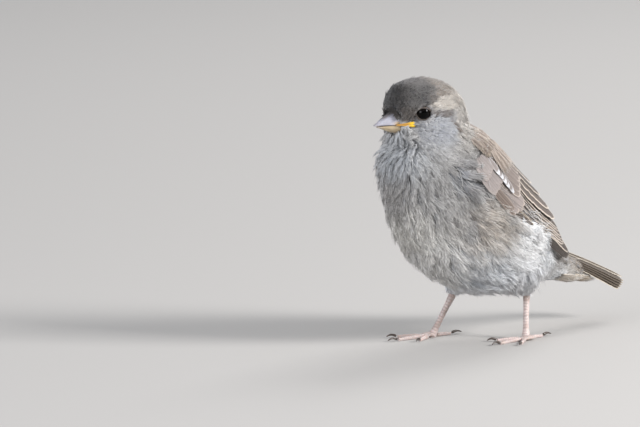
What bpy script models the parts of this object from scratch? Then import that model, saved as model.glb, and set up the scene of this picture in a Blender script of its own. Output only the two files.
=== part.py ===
"""A young house sparrow standing with its feathers fluffed, life size, as a still model.

The bird faces +X with +Y on its left and +Z up. The shape functions work in millimetres from a point
on the ground between the feet, and the last step moves the origin under the middle of the bird.
"""

import math

import bmesh
import bpy
from mathutils import Matrix, Vector

MM = 0.001

# Driving dimensions, in millimetres and degrees.
GAP = 0.3  # clearance between neighbouring pieces
HEAD_CENTRE = Vector((27.5, 0.0, 87.0))
HEAD_TURN = -7.0  # the head looks a little to the bird's right
HEAD_TILT = 1.0  # the bill points slightly down
HEAD_SQUARENESS = 0.9  # 1 gives oval cross-sections, less gives squarer ones
CHEEK_FULLNESS = 0.1  # how much wider the head is low down than at its middle
EYE_RADIUS = 2.75
EYE_FORWARD, EYE_OUT, EYE_UP = 7.6, 7.7, 1.7
SOCKET_DEPTH, SOCKET_FLARE = 6.0, 0.2  # how far the socket's funnel runs outwards, and its widening
COMMISSURE = -2.8  # height of the line where the mandibles meet, in the head's frame
BILL_BASE, BILL_TIP, LOWER_BILL_TIP = 10.5, 24.9, 23.7
LOWER_BILL_WIDTH = 0.93  # the lower mandible's width as a share of the upper one's
GAPE_MIDDLE, GAPE_OUT = 11.2, 5.35
GAPE_LENGTH, GAPE_WIDTH, GAPE_HEIGHT = 4.6, 1.9, 2.0
FLESH_VOXEL = 1.5
FLESH_KEPT = 0.075  # share of the blended form's faces that are kept
HEEL = {"left": Vector((-15.0, 10.5, 19.0)), "right": Vector((0.5, -11.5, 17.0))}
FOOT = {"left": Vector((-10.0, 15.0, 0.0)), "right": Vector((10.0, -15.0, 0.0))}
HIP = {"left": Vector((-9.0, 12.0, 29.0)), "right": Vector((3.0, -12.5, 27.0))}
THIGH_BELOW_HEEL = 3.4  # the leg's feathers hang below the heel joint
THIGH_TOP_RADIUS, THIGH_END_RADIUS = 9.5, 3.9
PAD_DEPTH = 0.8  # how far the foot's rounded pad would reach below the ground before it is cut flat
TARSUS_FLATNESS = 0.88  # the shank's width as a share of its depth
FOOT_SPLAY = 8.0
TOE_START = 2.9  # from the middle of the foot to where each toe begins
TOE_RADIUS, TOE_TAPER, TOE_PAD = 0.8, 0.28, 0.1
TOE_SINK = 0.14  # how much of each toe's underside is cut flat
CLAW_RADIUS, CLAW_POINT = 0.68, 0.12
TAIL_BASE, TAIL_TIP = Vector((-40.0, 0.0, 28.5)), Vector((-72.5, 0.0, 13.0))
TAIL_ROLL = 11.0  # the tail is carried with its left side a little higher
TAIL_BASE_HALF_WIDTH, TAIL_TIP_HALF_WIDTH = 3.8, 6.2
TAIL_THICKNESS = 1.3

# Cross-sections of the trunk and neck from under the tail to the throat: the middle of the back, the
# middle of the belly or breast (x and z of each), and the half width.
TRUNK_SECTIONS = (
    ((-60.0, 20.5), (-61.0, 14.5), 4.0),
    ((-47.5, 28.5), (-47.5, 14.8), 7.0),
    ((-37.5, 36.5), (-35.0, 16.0), 11.0),
    ((-26.0, 49.0), (-19.0, 17.0), 17.0),
    ((-13.0, 61.5), (3.0, 16.5), 22.0),
    ((-2.0, 73.0), (25.0, 26.0), 23.3),
    ((6.0, 80.5), (41.0, 42.5), 22.0),
    ((13.5, 84.5), (46.0, 60.0), 17.3),
    ((17.0, 92.0), (46.0, 74.5), 16.5),
)
SECTION_SPACING = 9.0  # the least distance between two sections on the back
# Cross-sections of the head in its own frame, nape to bill: distance forward, height of the middle,
# half width and half height.
HEAD_SECTIONS = (
    (-15.0, -1.5, 9.5, 9.0),
    (-8.0, -0.8, 11.6, 12.0),
    (0.0, 0.2, 11.8, 13.2),
    (7.0, 0.6, 11.6, 13.0),
    (12.0, 0.0, 10.4, 12.0),
    (17.0, -0.9, 7.6, 9.0),
)
# The bill: distance forward, half width, height of the culmen and depth of the lower mandible, both
# from the commissure.
BILL_SECTIONS = (
    (10.5, 4.9, 3.8, 3.7),
    (14.0, 4.5, 4.5, 3.6),
    (17.0, 3.7, 4.1, 2.9),
    (20.0, 2.6, 2.9, 1.9),
    (23.0, 1.1, 1.2, 0.8),
    (24.9, 0.25, 0.25, 0.25),
)
# The shank: share of the way down from the heel, and radius.
SHANK_STOPS = ((0.0, 1.55), (0.13, 1.3), (0.35, 1.0), (0.75, 1.0), (0.87, 1.45), (1.0, 2.1))
# The folded wing on the trunk's surface: the angle from the middle of the back to its upper and lower
# edges at trunk sections from the wing's tip to its bend.
WING_UPPER = ((1.5, 70.0), (2.0, 58.0), (2.3, 34.0), (3.3, 25.0), (4.6, 24.0), (5.5, 33.0), (6.1, 50.0))
WING_LOWER = ((1.5, 80.0), (2.3, 83.0), (3.3, 82.0), (4.6, 84.0), (5.5, 82.0), (6.1, 70.0))
# Its panels: first and last section, then the shares of its height that they span.
WING_PANELS = {
    "coverts": (6.1, 4.6, 0.0, 1.0),
    "secondaries": (4.56, 2.2, 0.0, 0.57),
    "primaries": (4.56, 1.5, 0.57, 1.0),
}
WHOLE_WING = (6.1, 1.5, 0.0, 1.0)
WING_LIFT = 1.3  # how far the wing's outer face stands off the trunk's surface
WING_THICKNESS = 1.8
WING_CELLS_PER_SECTION, WING_CELLS_ACROSS = 5, 6
# Toes: direction from the foot's heading (outward positive), length, claw length.
TOES = {
    "hallux": (178.0, 7.0, 5.0),
    "inner": (-33.0, 8.5, 3.8),
    "middle": (-2.0, 12.5, 4.6),
    "outer": (28.0, 9.5, 3.8),
}
# Colour and roughness of each finish.
FINISHES = {
    "plumage": ((0.47, 0.44, 0.40), 0.85),
    "wing": ((0.30, 0.24, 0.19), 0.75),
    "bill": ((0.42, 0.38, 0.36), 0.45),
    "gape": ((0.75, 0.58, 0.14), 0.5),
    "eye": ((0.01, 0.008, 0.007), 0.05),
    "leg": ((0.48, 0.36, 0.34), 0.6),
    "claw": ((0.10, 0.08, 0.07), 0.4),
}
SIDES = {"left": 1, "right": -1}


# --- Objects and modifiers --------------------------------------------------------------------


def clear_scene():
    for obj in list(bpy.data.objects):
        bpy.data.objects.remove(obj)


def collection(name):
    made = bpy.data.collections.new(name)
    bpy.context.scene.collection.children.link(made)
    return made


def material(name):
    colour, roughness = FINISHES[name]
    made = bpy.data.materials.get(name) or bpy.data.materials.new(name)
    made.use_nodes = True
    shader = made.node_tree.nodes["Principled BSDF"]
    shader.inputs["Base Color"].default_value = (*colour, 1.0)
    shader.inputs["Roughness"].default_value = roughness
    shader.inputs["Metallic"].default_value = 0.0
    return made


def add_piece(name, mesh, finish, to):
    mesh.materials.clear()
    mesh.materials.append(material(finish))
    mesh.shade_smooth()
    mesh.set_sharp_from_angle(angle=math.radians(50))
    obj = bpy.data.objects.new(name, mesh)
    to.objects.link(obj)
    return obj


def add_cutter(name, mesh, to):
    obj = bpy.data.objects.new(name, mesh)
    obj.hide_render = True
    obj.display_type = "WIRE"
    to.objects.link(obj)
    return obj


def evaluated_mesh(obj):
    """The object's mesh with its modifiers, as a mesh of its own."""
    graph = bpy.context.evaluated_depsgraph_get()
    return bpy.data.meshes.new_from_object(obj.evaluated_get(graph))


def cut(obj, cutter):
    step = obj.modifiers.new("Cut " + cutter.name, "BOOLEAN")
    step.operation = "DIFFERENCE"
    step.solver = "EXACT"
    step.object = cutter


def add_shell(obj, thickness):
    """Gives an open sheet its thickness, inwards from its outer face."""
    shell = obj.modifiers.new("Shell", "SOLIDIFY")
    shell.thickness = thickness * MM
    shell.offset = -1.0


# --- Curves and basic forms -------------------------------------------------------------------


def blended(values, at):
    """A smooth curve through evenly spaced values, read at a place counted in their index."""
    last = len(values) - 1
    at = min(max(at, 0.0), float(last))
    i = min(int(at), last - 1)
    f = at - i
    a, b, c, d = (values[min(max(j, 0), last)] for j in (i - 1, i, i + 1, i + 2))
    cubic = (3 * b - a - 3 * c + d) * f**3
    return 0.5 * (2 * b + (c - a) * f + (2 * a - 5 * b + 4 * c - d) * f**2 + cubic)


def between(stops, at):
    """A smooth curve through (place, value) stops at uneven places."""
    places = [place for place, _ in stops]
    at = min(max(at, places[0]), places[-1])
    i = max(j for j in range(len(places) - 1) if places[j] <= at)
    share = (at - places[i]) / (places[i + 1] - places[i])
    return blended([value for _, value in stops], i + share)


def rounded_end(share, end):
    """1 along the middle of a form, falling to 0 at both ends as a quarter circle does."""
    inside = min(share, 1.0 - share) / end
    return math.sqrt(max(0.0, 1.0 - (1.0 - min(inside, 1.0)) ** 2))


def closer_at_ends(along):
    """Spaces even steps from 0 to 1 so that they lie closer together near both ends."""
    return (1 - math.cos(along * math.pi)) / 2


def axes_across(run):
    """Two unit vectors square to a run and to each other."""
    across = run.cross(Vector((0, 1, 0))).normalized()
    return across, run.normalized().cross(across)


def mesh_of(bm, name):
    mesh = bpy.data.meshes.new(name)
    bm.to_mesh(mesh)
    bm.free()
    return mesh


def face_outward(bm):
    """Turns the faces of a closed form outwards."""
    bmesh.ops.recalc_face_normals(bm, faces=bm.faces)
    if bm.calc_volume(signed=True) < 0:
        bmesh.ops.reverse_faces(bm, faces=bm.faces)


def ball_mesh(name, place, segments, rings):
    """A closed form from a sphere: place(along, angle) gives each point, along running from 0 to 1
    between the poles and angle going round them."""
    bm = bmesh.new()
    bmesh.ops.create_uvsphere(bm, u_segments=segments, v_segments=rings, radius=1.0)
    for vert in bm.verts:
        along = math.acos(min(max(vert.co.z, -1.0), 1.0)) / math.pi
        vert.co = place(along, math.atan2(vert.co.y, vert.co.x)) * MM
    face_outward(bm)
    return mesh_of(bm, name)


def sheet_mesh(name, place, cells_along, cells_across, facing):
    """An open sheet from a grid: place(along, across) gives each point, both running from 0 to 1.
    Its faces look the way that facing points."""
    bm = bmesh.new()
    bmesh.ops.create_grid(bm, x_segments=cells_along, y_segments=cells_across, size=1.0)
    for vert in bm.verts:
        vert.co = place((vert.co.x + 1) / 2, (vert.co.y + 1) / 2) * MM
    bmesh.ops.recalc_face_normals(bm, faces=bm.faces)
    if sum(face.normal.dot(facing) for face in bm.faces) < 0:
        bmesh.ops.reverse_faces(bm, faces=bm.faces)
    return mesh_of(bm, name)


def tube_mesh(points, radii, sides):
    """A closed round tube of varying radius, made from a bevelled curve."""
    curve = bpy.data.curves.new("tube", "CURVE")
    curve.dimensions = "3D"
    curve.bevel_depth = MM
    curve.bevel_resolution = (sides - 4) // 2
    curve.use_fill_caps = True
    spline = curve.splines.new("POLY")
    spline.points.add(len(points) - 1)
    for point, place, radius in zip(spline.points, points, radii):
        point.co = (*(place * MM), 1.0)
        point.radius = radius
    guide = bpy.data.objects.new("tube", curve)
    bpy.context.scene.collection.objects.link(guide)
    mesh = evaluated_mesh(guide)
    bpy.data.objects.remove(guide)
    bm = bmesh.new()
    bm.from_mesh(mesh)
    bmesh.ops.remove_doubles(bm, verts=bm.verts, dist=0.00001)
    face_outward(bm)
    return mesh_of(bm, "tube")


def flatten_sole(mesh):
    """Cuts a mesh flat where it reaches the ground."""
    bm = bmesh.new()
    bm.from_mesh(mesh)
    done = bmesh.ops.bisect_plane(
        bm,
        geom=[*bm.verts, *bm.edges, *bm.faces],
        dist=1e-7,
        plane_co=(0, 0, 0),
        plane_no=(0, 0, -1),
        clear_outer=True,
    )
    rim = [part for part in done["geom_cut"] if isinstance(part, bmesh.types.BMEdge)]
    bmesh.ops.holes_fill(bm, edges=rim)
    face_outward(bm)
    return mesh_of(bm, mesh.name)


# --- Trunk and neck ---------------------------------------------------------------------------


def midline_point(side, at):
    """A point on the trunk's midline at a section: side 0 is the back, 1 the belly."""
    x, z = (blended([section[side][i] for section in TRUNK_SECTIONS], at) for i in (0, 1))
    return Vector((x, 0.0, z))


def trunk_section(at):
    """Middle, direction towards the back, half depth and half width of the trunk at a section."""
    back, belly = midline_point(0, at), midline_point(1, at)
    width = blended([section[2] for section in TRUNK_SECTIONS], at)
    return (back + belly) / 2, (back - belly).normalized(), (back - belly).length / 2, width


def trunk_surface(at, angle, lift=0.0, shrink=1.0):
    """A point on the trunk: angle is 0 at the middle of the back and 90 degrees on the left side."""
    middle, up, depth, width = trunk_section(at)
    depth, width = depth * shrink + lift, width * shrink + lift
    return middle + up * depth * math.cos(angle) + Vector((0, width * math.sin(angle), 0))


def trunk_form():
    last = len(TRUNK_SECTIONS) - 1

    def place(along, angle):
        share = closer_at_ends(along)
        return trunk_surface(share * last, angle, shrink=rounded_end(share, 0.08))

    return ball_mesh("trunk form", place, 40, 40)


# --- Head -------------------------------------------------------------------------------------


def head_matrix():
    turn = Matrix.Rotation(math.radians(HEAD_TURN), 4, "Z")
    tilt = Matrix.Rotation(math.radians(HEAD_TILT), 4, "Y")
    return Matrix.Translation(HEAD_CENTRE) @ turn @ tilt


def squared(value):
    """Pushes a sine or cosine outwards, so that an oval becomes a little squarer."""
    return math.copysign(abs(value) ** HEAD_SQUARENESS, value)


def head_form():
    frame = head_matrix()
    last = len(HEAD_SECTIONS) - 1

    def place(along, angle):
        share = closer_at_ends(along)
        forward, middle, width, height = (
            blended([section[i] for section in HEAD_SECTIONS], share * last) for i in range(4)
        )
        cap = rounded_end(share, 0.16)
        cheek = 1.0 + CHEEK_FULLNESS * max(0.0, -math.cos(angle))
        across = width * cap * squared(math.sin(angle)) * cheek
        return frame @ Vector((forward, across, middle + height * cap * squared(math.cos(angle))))

    return ball_mesh("head form", place, 40, 36)


def eye_centre(sign):
    return head_matrix() @ Vector((EYE_FORWARD, sign * EYE_OUT, EYE_UP))


def eye_mesh(sign):
    centre = eye_centre(sign)

    def place(along, angle):
        ring, up = EYE_RADIUS * math.sin(along * math.pi), EYE_RADIUS * math.cos(along * math.pi)
        return centre + Vector((ring * math.cos(angle), ring * math.sin(angle), up))

    return ball_mesh("eye", place, 14, 8)


def eye_socket_mesh(sign):
    """The room for an eyeball, opening outwards as a shallow funnel between the feathers."""
    centre = eye_centre(sign)
    outward = (head_matrix().to_3x3() @ Vector((0.25, sign, 0.05))).normalized()
    forward = outward.cross(Vector((0, 0, 1))).normalized()
    up = forward.cross(outward)
    radius = EYE_RADIUS + GAP

    def place(along, angle):
        if along <= 0.5:
            depth, ring = -radius * math.cos(along * math.pi), radius * math.sin(along * math.pi)
        else:
            outside = 2 * along - 1
            depth, ring = SOCKET_DEPTH * outside, radius * (1 + SOCKET_FLARE * outside)
        ring = ring if along < 1.0 else 0.0
        return centre + outward * depth + (forward * math.cos(angle) + up * math.sin(angle)) * ring

    return ball_mesh("eye socket", place, 14, 10)


def bill_mesh(half, grown=0.0):
    """The bill as a cone with a curved ridge: its upper half, its lower half, or both as one."""
    frame = head_matrix()
    tip = (LOWER_BILL_TIP if half == "lower" else BILL_TIP) + grown
    base = BILL_BASE - grown
    stretch = (BILL_TIP - BILL_BASE) / (tip - base)
    slim = LOWER_BILL_WIDTH if half == "lower" else 1.0

    def place(along, angle):
        share = closer_at_ends(along)
        forward = base + (tip - base) * share
        read = BILL_BASE + (forward - base) * stretch
        width, above, below = (
            between([(section[0], section[i]) for section in BILL_SECTIONS], read) for i in (1, 2, 3)
        )
        cap = rounded_end(share, 0.03)
        rise = above + grown if math.cos(angle) > 0 else -below - grown
        up = rise * cap * abs(math.cos(angle)) ** 0.85
        if half == "upper":
            up = max(up, 0.0) + GAP / 2
        if half == "lower":
            up = min(up, 0.0) - GAP / 2
        across = (width * slim + grown) * cap * math.sin(angle)
        return frame @ Vector((forward, across, COMMISSURE + up))

    return ball_mesh("bill", place, 14, 10)


def gape_mesh(sign, grown=0.0):
    """The swollen yellow corner of a young bird's bill."""
    frame = head_matrix()

    def place(along, angle):
        ring = math.sin(along * math.pi)
        forward = GAPE_MIDDLE + (GAPE_LENGTH + 2 * grown) * (along - 0.5)
        out = GAPE_OUT - 0.75 * (along - 0.5) + (GAPE_WIDTH / 2 + grown) * ring * math.cos(angle)
        up = COMMISSURE + 0.1 + (GAPE_HEIGHT / 2 + grown) * ring * math.sin(angle)
        return frame @ Vector((forward, sign * out, up))

    return ball_mesh("gape", place, 10, 6)


# --- Wings and tail ---------------------------------------------------------------------------


def wing_mesh(name, sign, span, grown=0.0):
    """Part of the folded wing as an open sheet that follows the trunk. span is its first and last
    trunk section and the shares of the wing's height at its upper and lower edge."""
    front, rear, upper, lower = span
    cells_along = math.ceil(WING_CELLS_PER_SECTION * (front - rear))
    cells_across = math.ceil(WING_CELLS_ACROSS * (lower - upper))
    front, rear = front + grown / SECTION_SPACING, rear - grown / SECTION_SPACING

    def place(along, across):
        at = front + (rear - front) * along
        _, _, depth, width = trunk_section(at)
        top, bottom = math.radians(between(WING_UPPER, at)), math.radians(between(WING_LOWER, at))
        edge = (grown - GAP / 2) * 2.6 / (depth + width)
        start = top + (bottom - top) * upper - edge
        end = top + (bottom - top) * lower + edge
        point = trunk_surface(at, start + (end - start) * across, WING_LIFT + grown)
        return Vector((point.x, sign * point.y, point.z))

    return sheet_mesh(name, place, cells_along, cells_across, Vector((0, sign, 0)))


def tail_mesh(grown=0.0):
    """The closed tail: a thin fan, arched across and notched at its tip."""
    run = TAIL_TIP - TAIL_BASE
    along_it = run.normalized()
    roll = Matrix.Rotation(math.radians(TAIL_ROLL), 3, -along_it)
    across_it = roll @ Vector((0, 1, 0))
    above_it = roll @ Vector((along_it.z, 0, -along_it.x))

    def place(along, across):
        across = 2 * across - 1
        half_width = TAIL_BASE_HALF_WIDTH + (TAIL_TIP_HALF_WIDTH - TAIL_BASE_HALF_WIDTH) * along + grown
        notch = 2.4 * along**6 * (1.0 - abs(across)) ** 1.5
        corner = 2.0 * along**6 * max(0.0, (abs(across) - 0.55) / 0.45) ** 2
        back = notch + corner - grown * (2 * along - 1)
        arch = -1.1 * across**2 * (0.4 + 0.6 * along)
        middle = TAIL_BASE + run * along - along_it * back + above_it * (arch + grown)
        return middle + across_it * half_width * across

    return sheet_mesh("tail", place, 8, 8, Vector((0, 0, 1)))


# --- Legs -------------------------------------------------------------------------------------


def thigh_mesh(side):
    """The feathered thigh, tapering from inside the belly to below the heel."""
    start, end = HIP[side], HEEL[side] - Vector((0, 0, THIGH_BELOW_HEEL))
    across, beside = axes_across(end - start)

    def place(along, angle):
        share = closer_at_ends(along)
        radius = THIGH_TOP_RADIUS + (THIGH_END_RADIUS - THIGH_TOP_RADIUS) * share
        radius *= rounded_end(share, 0.35)
        middle = start + (end - start) * share
        return middle + (across * math.cos(angle) + beside * math.sin(angle)) * radius

    return ball_mesh("thigh", place, 12, 10)


def tarsus_mesh(side, grown=0.0):
    """The bare shank from its thick heel joint down to the pad between the toes."""
    start, end = HEEL[side], FOOT[side] - Vector((0, 0, PAD_DEPTH))
    run = (end - start).normalized()
    across, beside = axes_across(run)

    def place(along, angle):
        radius = (between(SHANK_STOPS, along) + grown) * rounded_end(along, 0.06)
        middle = start + (end - start) * along + run * grown * (2 * along - 1)
        return middle + (across * math.cos(angle) + beside * math.sin(angle) * TARSUS_FLATNESS) * radius

    return ball_mesh("tarsus", place, 8, 13)


def toe_heading(side, toe):
    """Unit vector along a toe, on the ground."""
    turn = math.radians(SIDES[side] * (FOOT_SPLAY + TOES[toe][0]))
    return Vector((math.cos(turn), math.sin(turn), 0.0))


def toe_mesh(side, toe):
    """A toe with its pads swelling between the joints."""
    length = TOES[toe][1]
    heading = toe_heading(side, toe)
    start = FOOT[side] + heading * TOE_START
    swellings = 4 if toe == "middle" else 3
    points, radii = [], []
    for i in range(8):
        share = i / 7
        radius = TOE_RADIUS * (1.0 - TOE_TAPER * share)
        radius += TOE_PAD * math.cos(share * swellings * 2 * math.pi)
        arch = TOE_PAD * math.sin(share * math.pi) ** 2
        points.append(start + heading * length * share + Vector((0, 0, radius - TOE_SINK + arch)))
        radii.append(radius)
    return flatten_sole(tube_mesh(points, radii, 8))


def claw_mesh(side, toe):
    """A curved claw, rising from the toe's end and coming down to a blunt point."""
    _, length, claw = TOES[toe]
    heading = toe_heading(side, toe)
    start = FOOT[side] + heading * (TOE_START + length + GAP)
    points, radii = [], []
    for i in range(5):
        share = i / 4
        rise = 0.75 + 0.9 * math.sin(share * math.pi * 0.9) * (1 - 0.3 * share) - 0.4 * share
        points.append(start + heading * claw * share**0.9 + Vector((0, 0, rise)))
        radii.append((CLAW_RADIUS - CLAW_POINT) * (1 - share) ** 0.7 + CLAW_POINT)
    return tube_mesh(points, radii, 6)


# --- Putting the bird together ----------------------------------------------------------------


def half_space(name, middle, normal, to):
    """A large block whose flat side lies on a plane, filling the side that its normal points to."""
    size = 220.0
    bm = bmesh.new()
    bmesh.ops.create_cube(bm, size=size * MM)
    turn = normal.to_track_quat("Z", "Y").to_matrix().to_4x4()
    centre = (middle + normal * (size / 2 - GAP / 2)) * MM
    bmesh.ops.transform(bm, matrix=Matrix.Translation(centre) @ turn, verts=bm.verts)
    return add_cutter(name, mesh_of(bm, name), to)


def parting_cutters(name, nape, throat, to):
    """Two blocks that part the flesh at a plane through a point on the nape and one on the throat:
    the first removes what is above it, the second what is below."""
    across = throat - nape
    normal = Vector((-across.z, 0.0, across.x)).normalized()
    middle = (nape + throat) / 2
    above = half_space("above " + name, middle, normal, to)
    return above, half_space("below " + name, middle, -normal, to)


def flesh_mesh(to):
    """The head, neck and trunk blended into one skin."""
    bm = bmesh.new()
    for mesh in (trunk_form(), head_form()):
        bm.from_mesh(mesh)
    form = add_cutter("flesh form", mesh_of(bm, "flesh form"), to)
    blend = form.modifiers.new("Blend", "REMESH")
    blend.mode = "VOXEL"
    blend.voxel_size = FLESH_VOXEL * MM
    soften = form.modifiers.new("Soften", "SMOOTH")
    soften.factor = 0.5
    soften.iterations = 8
    thin = form.modifiers.new("Thin", "DECIMATE")
    thin.ratio = FLESH_KEPT
    flesh = evaluated_mesh(form)
    bpy.data.objects.remove(form)
    return flesh


def add_flesh(name, flesh, cutters, to):
    """A length of the body: the whole form with its neighbours cut away."""
    obj = add_piece(name, flesh.copy(), "plumage", to)
    for cutter in cutters:
        cut(obj, cutter)


def build_face(bird, cutters):
    """Eyes, bill and gape. Gives the cutters that make room for them in the head."""
    bill_room = add_cutter("bill room", bill_mesh("both", GAP), cutters)
    rooms = [bill_room]
    add_piece("bill_upper", bill_mesh("upper"), "bill", bird)
    add_piece("bill_lower", bill_mesh("lower"), "bill", bird)
    for side, sign in SIDES.items():
        add_piece("eye_" + side, eye_mesh(sign), "eye", bird)
        rooms.append(add_cutter("eye room " + side, eye_socket_mesh(sign), cutters))
        gape = add_piece("gape_" + side, gape_mesh(sign), "gape", bird)
        cut(gape, bill_room)
        rooms.append(add_cutter("gape room " + side, gape_mesh(sign, GAP), cutters))
    return rooms


def build_wings(bird, cutters):
    """The panels of both wings. Gives one cutter for each wing that makes room in the trunk."""
    rooms = []
    for side, sign in SIDES.items():
        for panel, span in WING_PANELS.items():
            sheet = add_piece(f"wing_{side}_{panel}", wing_mesh(panel, sign, span), "wing", bird)
            add_shell(sheet, WING_THICKNESS)
        room = add_cutter("wing room " + side, wing_mesh("wing room", sign, WHOLE_WING, GAP), cutters)
        add_shell(room, WING_THICKNESS + 2 * GAP)
        rooms.append(room)
    return rooms


def build_tail(bird, cutters):
    add_shell(add_piece("tail", tail_mesh(), "wing", bird), TAIL_THICKNESS)
    room = add_cutter("tail room", tail_mesh(GAP), cutters)
    add_shell(room, TAIL_THICKNESS + 2 * GAP)
    return room


def build_legs(bird, cutters, flesh):
    body_room = add_cutter("body room", flesh.copy(), cutters)
    swell = body_room.modifiers.new("Swell", "DISPLACE")
    swell.strength = GAP * MM
    swell.mid_level = 0.0
    for side in SIDES:
        tarsus = add_piece("tarsus_" + side, flatten_sole(tarsus_mesh(side)), "leg", bird)
        cut(tarsus, body_room)
        shank_room = add_cutter("shank room " + side, tarsus_mesh(side, GAP), cutters)
        thigh = add_piece("thigh_" + side, thigh_mesh(side), "plumage", bird)
        cut(thigh, body_room)
        cut(thigh, shank_room)
        for toe in TOES:
            add_piece(f"toe_{side}_{toe}", toe_mesh(side, toe), "leg", bird)
            add_piece(f"claw_{side}_{toe}", claw_mesh(side, toe), "claw", bird)


def centre_origin(bird):
    """Moves everything so that the origin is on the ground under the middle of the bird."""
    bpy.context.view_layer.update()
    graph = bpy.context.evaluated_depsgraph_get()
    corners = [Vector(corner) for obj in bird.objects for corner in obj.evaluated_get(graph).bound_box]
    low, high = (Vector([pick(c[i] for c in corners) for i in range(3)]) for pick in (min, max))
    shift = Vector((-(low.x + high.x) / 2, -(low.y + high.y) / 2, -low.z))
    for obj in bpy.data.objects:
        obj.location += shift


def main():
    clear_scene()
    bird = collection("House sparrow")
    cutters = collection("Cutters")
    flesh = flesh_mesh(cutters)
    above_chin, below_chin = parting_cutters(
        "chin", nape=Vector((13.0, 0.0, 90.5)), throat=Vector((43.5, 0.0, 74.5)), to=cutters
    )
    above_neck, below_neck = parting_cutters(
        "neck", nape=Vector((9.0, 0.0, 83.0)), throat=Vector((46.0, 0.0, 56.0)), to=cutters
    )
    face_rooms = build_face(bird, cutters)
    wing_rooms = build_wings(bird, cutters)
    tail_room = build_tail(bird, cutters)
    build_legs(bird, cutters, flesh)
    add_flesh("head", flesh, [below_chin, *face_rooms], bird)
    add_flesh("neck", flesh, [above_chin, below_neck], bird)
    add_flesh("trunk", flesh, [above_neck, *wing_rooms, tail_room], bird)
    centre_origin(bird)


main()
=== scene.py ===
"""The looks of a young house sparrow standing with its feathers fluffed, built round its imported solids.

The bird faces +X with +Y on its left and +Z up, in metres. Lengths named in millimetres are turned to
metres with MM. The head has a frame of its own, taken from where the eyes lie.
"""

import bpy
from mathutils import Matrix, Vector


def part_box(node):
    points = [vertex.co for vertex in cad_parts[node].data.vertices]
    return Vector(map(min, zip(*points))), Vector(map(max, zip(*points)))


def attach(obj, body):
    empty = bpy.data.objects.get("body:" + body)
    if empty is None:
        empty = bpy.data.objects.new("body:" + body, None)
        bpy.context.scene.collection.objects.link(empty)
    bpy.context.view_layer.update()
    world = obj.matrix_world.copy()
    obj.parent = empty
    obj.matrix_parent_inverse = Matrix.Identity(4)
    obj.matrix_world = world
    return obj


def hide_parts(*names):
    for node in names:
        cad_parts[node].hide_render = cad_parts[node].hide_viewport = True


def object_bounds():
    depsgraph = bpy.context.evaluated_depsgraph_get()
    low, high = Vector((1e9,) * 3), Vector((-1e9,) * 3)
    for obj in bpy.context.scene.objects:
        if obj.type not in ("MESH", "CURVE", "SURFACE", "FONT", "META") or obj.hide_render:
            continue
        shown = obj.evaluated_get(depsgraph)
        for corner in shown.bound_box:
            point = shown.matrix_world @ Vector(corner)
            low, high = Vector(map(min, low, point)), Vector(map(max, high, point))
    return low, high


bl_info = {
    "name": "House Sparrow Plumage",
    "version": (1, 0, 0),
    "blender": (4, 5, 0),
    "location": "3D View > Sidebar > Sparrow",
    "description": "Builds the skin, coat, wings, tail, face and legs of a young house sparrow",
    "category": "Object",
}

import functools
import math

import bmesh
import bpy
import numpy as np
from bpy.props import FloatProperty, FloatVectorProperty, IntProperty, PointerProperty
from mathutils import Vector
from mathutils.bvhtree import BVHTree
from mathutils.kdtree import KDTree

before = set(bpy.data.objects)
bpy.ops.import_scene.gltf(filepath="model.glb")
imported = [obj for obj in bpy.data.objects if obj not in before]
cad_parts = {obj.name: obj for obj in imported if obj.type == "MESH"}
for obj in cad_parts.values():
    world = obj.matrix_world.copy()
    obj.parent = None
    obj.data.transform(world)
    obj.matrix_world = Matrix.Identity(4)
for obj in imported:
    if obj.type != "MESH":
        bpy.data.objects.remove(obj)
CAD_LOW, CAD_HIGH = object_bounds()

MM = 0.001
LOW, SPAN = np.array(CAD_LOW), np.array(CAD_HIGH) - np.array(CAD_LOW)
SIDES = {"left": 1.0, "right": -1.0}
UP = np.array((0.0, 0.0, 1.0))


def linear(code):
    """A hex sRGB colour as linear red, green and blue."""
    levels = [int(code[i : i + 2], 16) / 255 for i in (1, 3, 5)]
    return np.array([v / 12.92 if v <= 0.04045 else ((v + 0.055) / 1.055) ** 2.4 for v in levels])


def palette(**codes):
    """Linear colours by name."""
    return {name: linear(code) for name, code in codes.items()}


def middle_of(node):
    """The middle of a node's box."""
    low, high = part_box(node)
    return np.array((low + high) / 2)


def unit(vectors):
    """Vectors drawn out to a length of 1."""
    vectors = np.asarray(vectors, float)
    return vectors / np.maximum(np.linalg.norm(vectors, axis=-1, keepdims=True), 1e-12)


def dot(a, b):
    """The dot product of each pair of rows."""
    return (a * b).sum(-1)


def smooth(low, high, value):
    """0 below low, 1 above high and an S-shaped rise between them."""
    share = np.clip((value - low) / (high - low), 0.0, 1.0)
    return share * share * (3 - 2 * share)


def fall(low, high, value):
    """1 below low, 0 above high and an S-shaped fall between them."""
    return 1 - smooth(low, high, value)


def mix(first, second, share):
    """From the first at a share of 0 to the second at 1."""
    share = np.asarray(share)[..., None]
    return first * (1 - share) + second * share


# --- Where things lie on the bird ---------------------------------------------------------------

EYES = {side: middle_of("eye_" + side) for side in SIDES}
EYE_RADIUS = (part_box("eye_left")[1].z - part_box("eye_left")[0].z) / 2
HEAD_LEFT = unit(EYES["left"] - EYES["right"])
HEAD_FORWARD = np.cross(HEAD_LEFT, UP)
# The middle of the head lies behind and a little below the point midway between the eyes.
EYES_FORWARD, EYES_UP = 7.6 * MM, 1.7 * MM
HEAD_MIDDLE = (EYES["left"] + EYES["right"]) / 2 - HEAD_FORWARD * EYES_FORWARD - UP * EYES_UP
HEAD_AXES = np.stack((HEAD_FORWARD, HEAD_LEFT, UP))
BILL_BASE = HEAD_MIDDLE + (HEAD_FORWARD * 12.0 - UP * 2.5) * MM
COMMISSURE = -2.75  # the height of the bill's cleft in the head's frame, in millimetres

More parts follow.
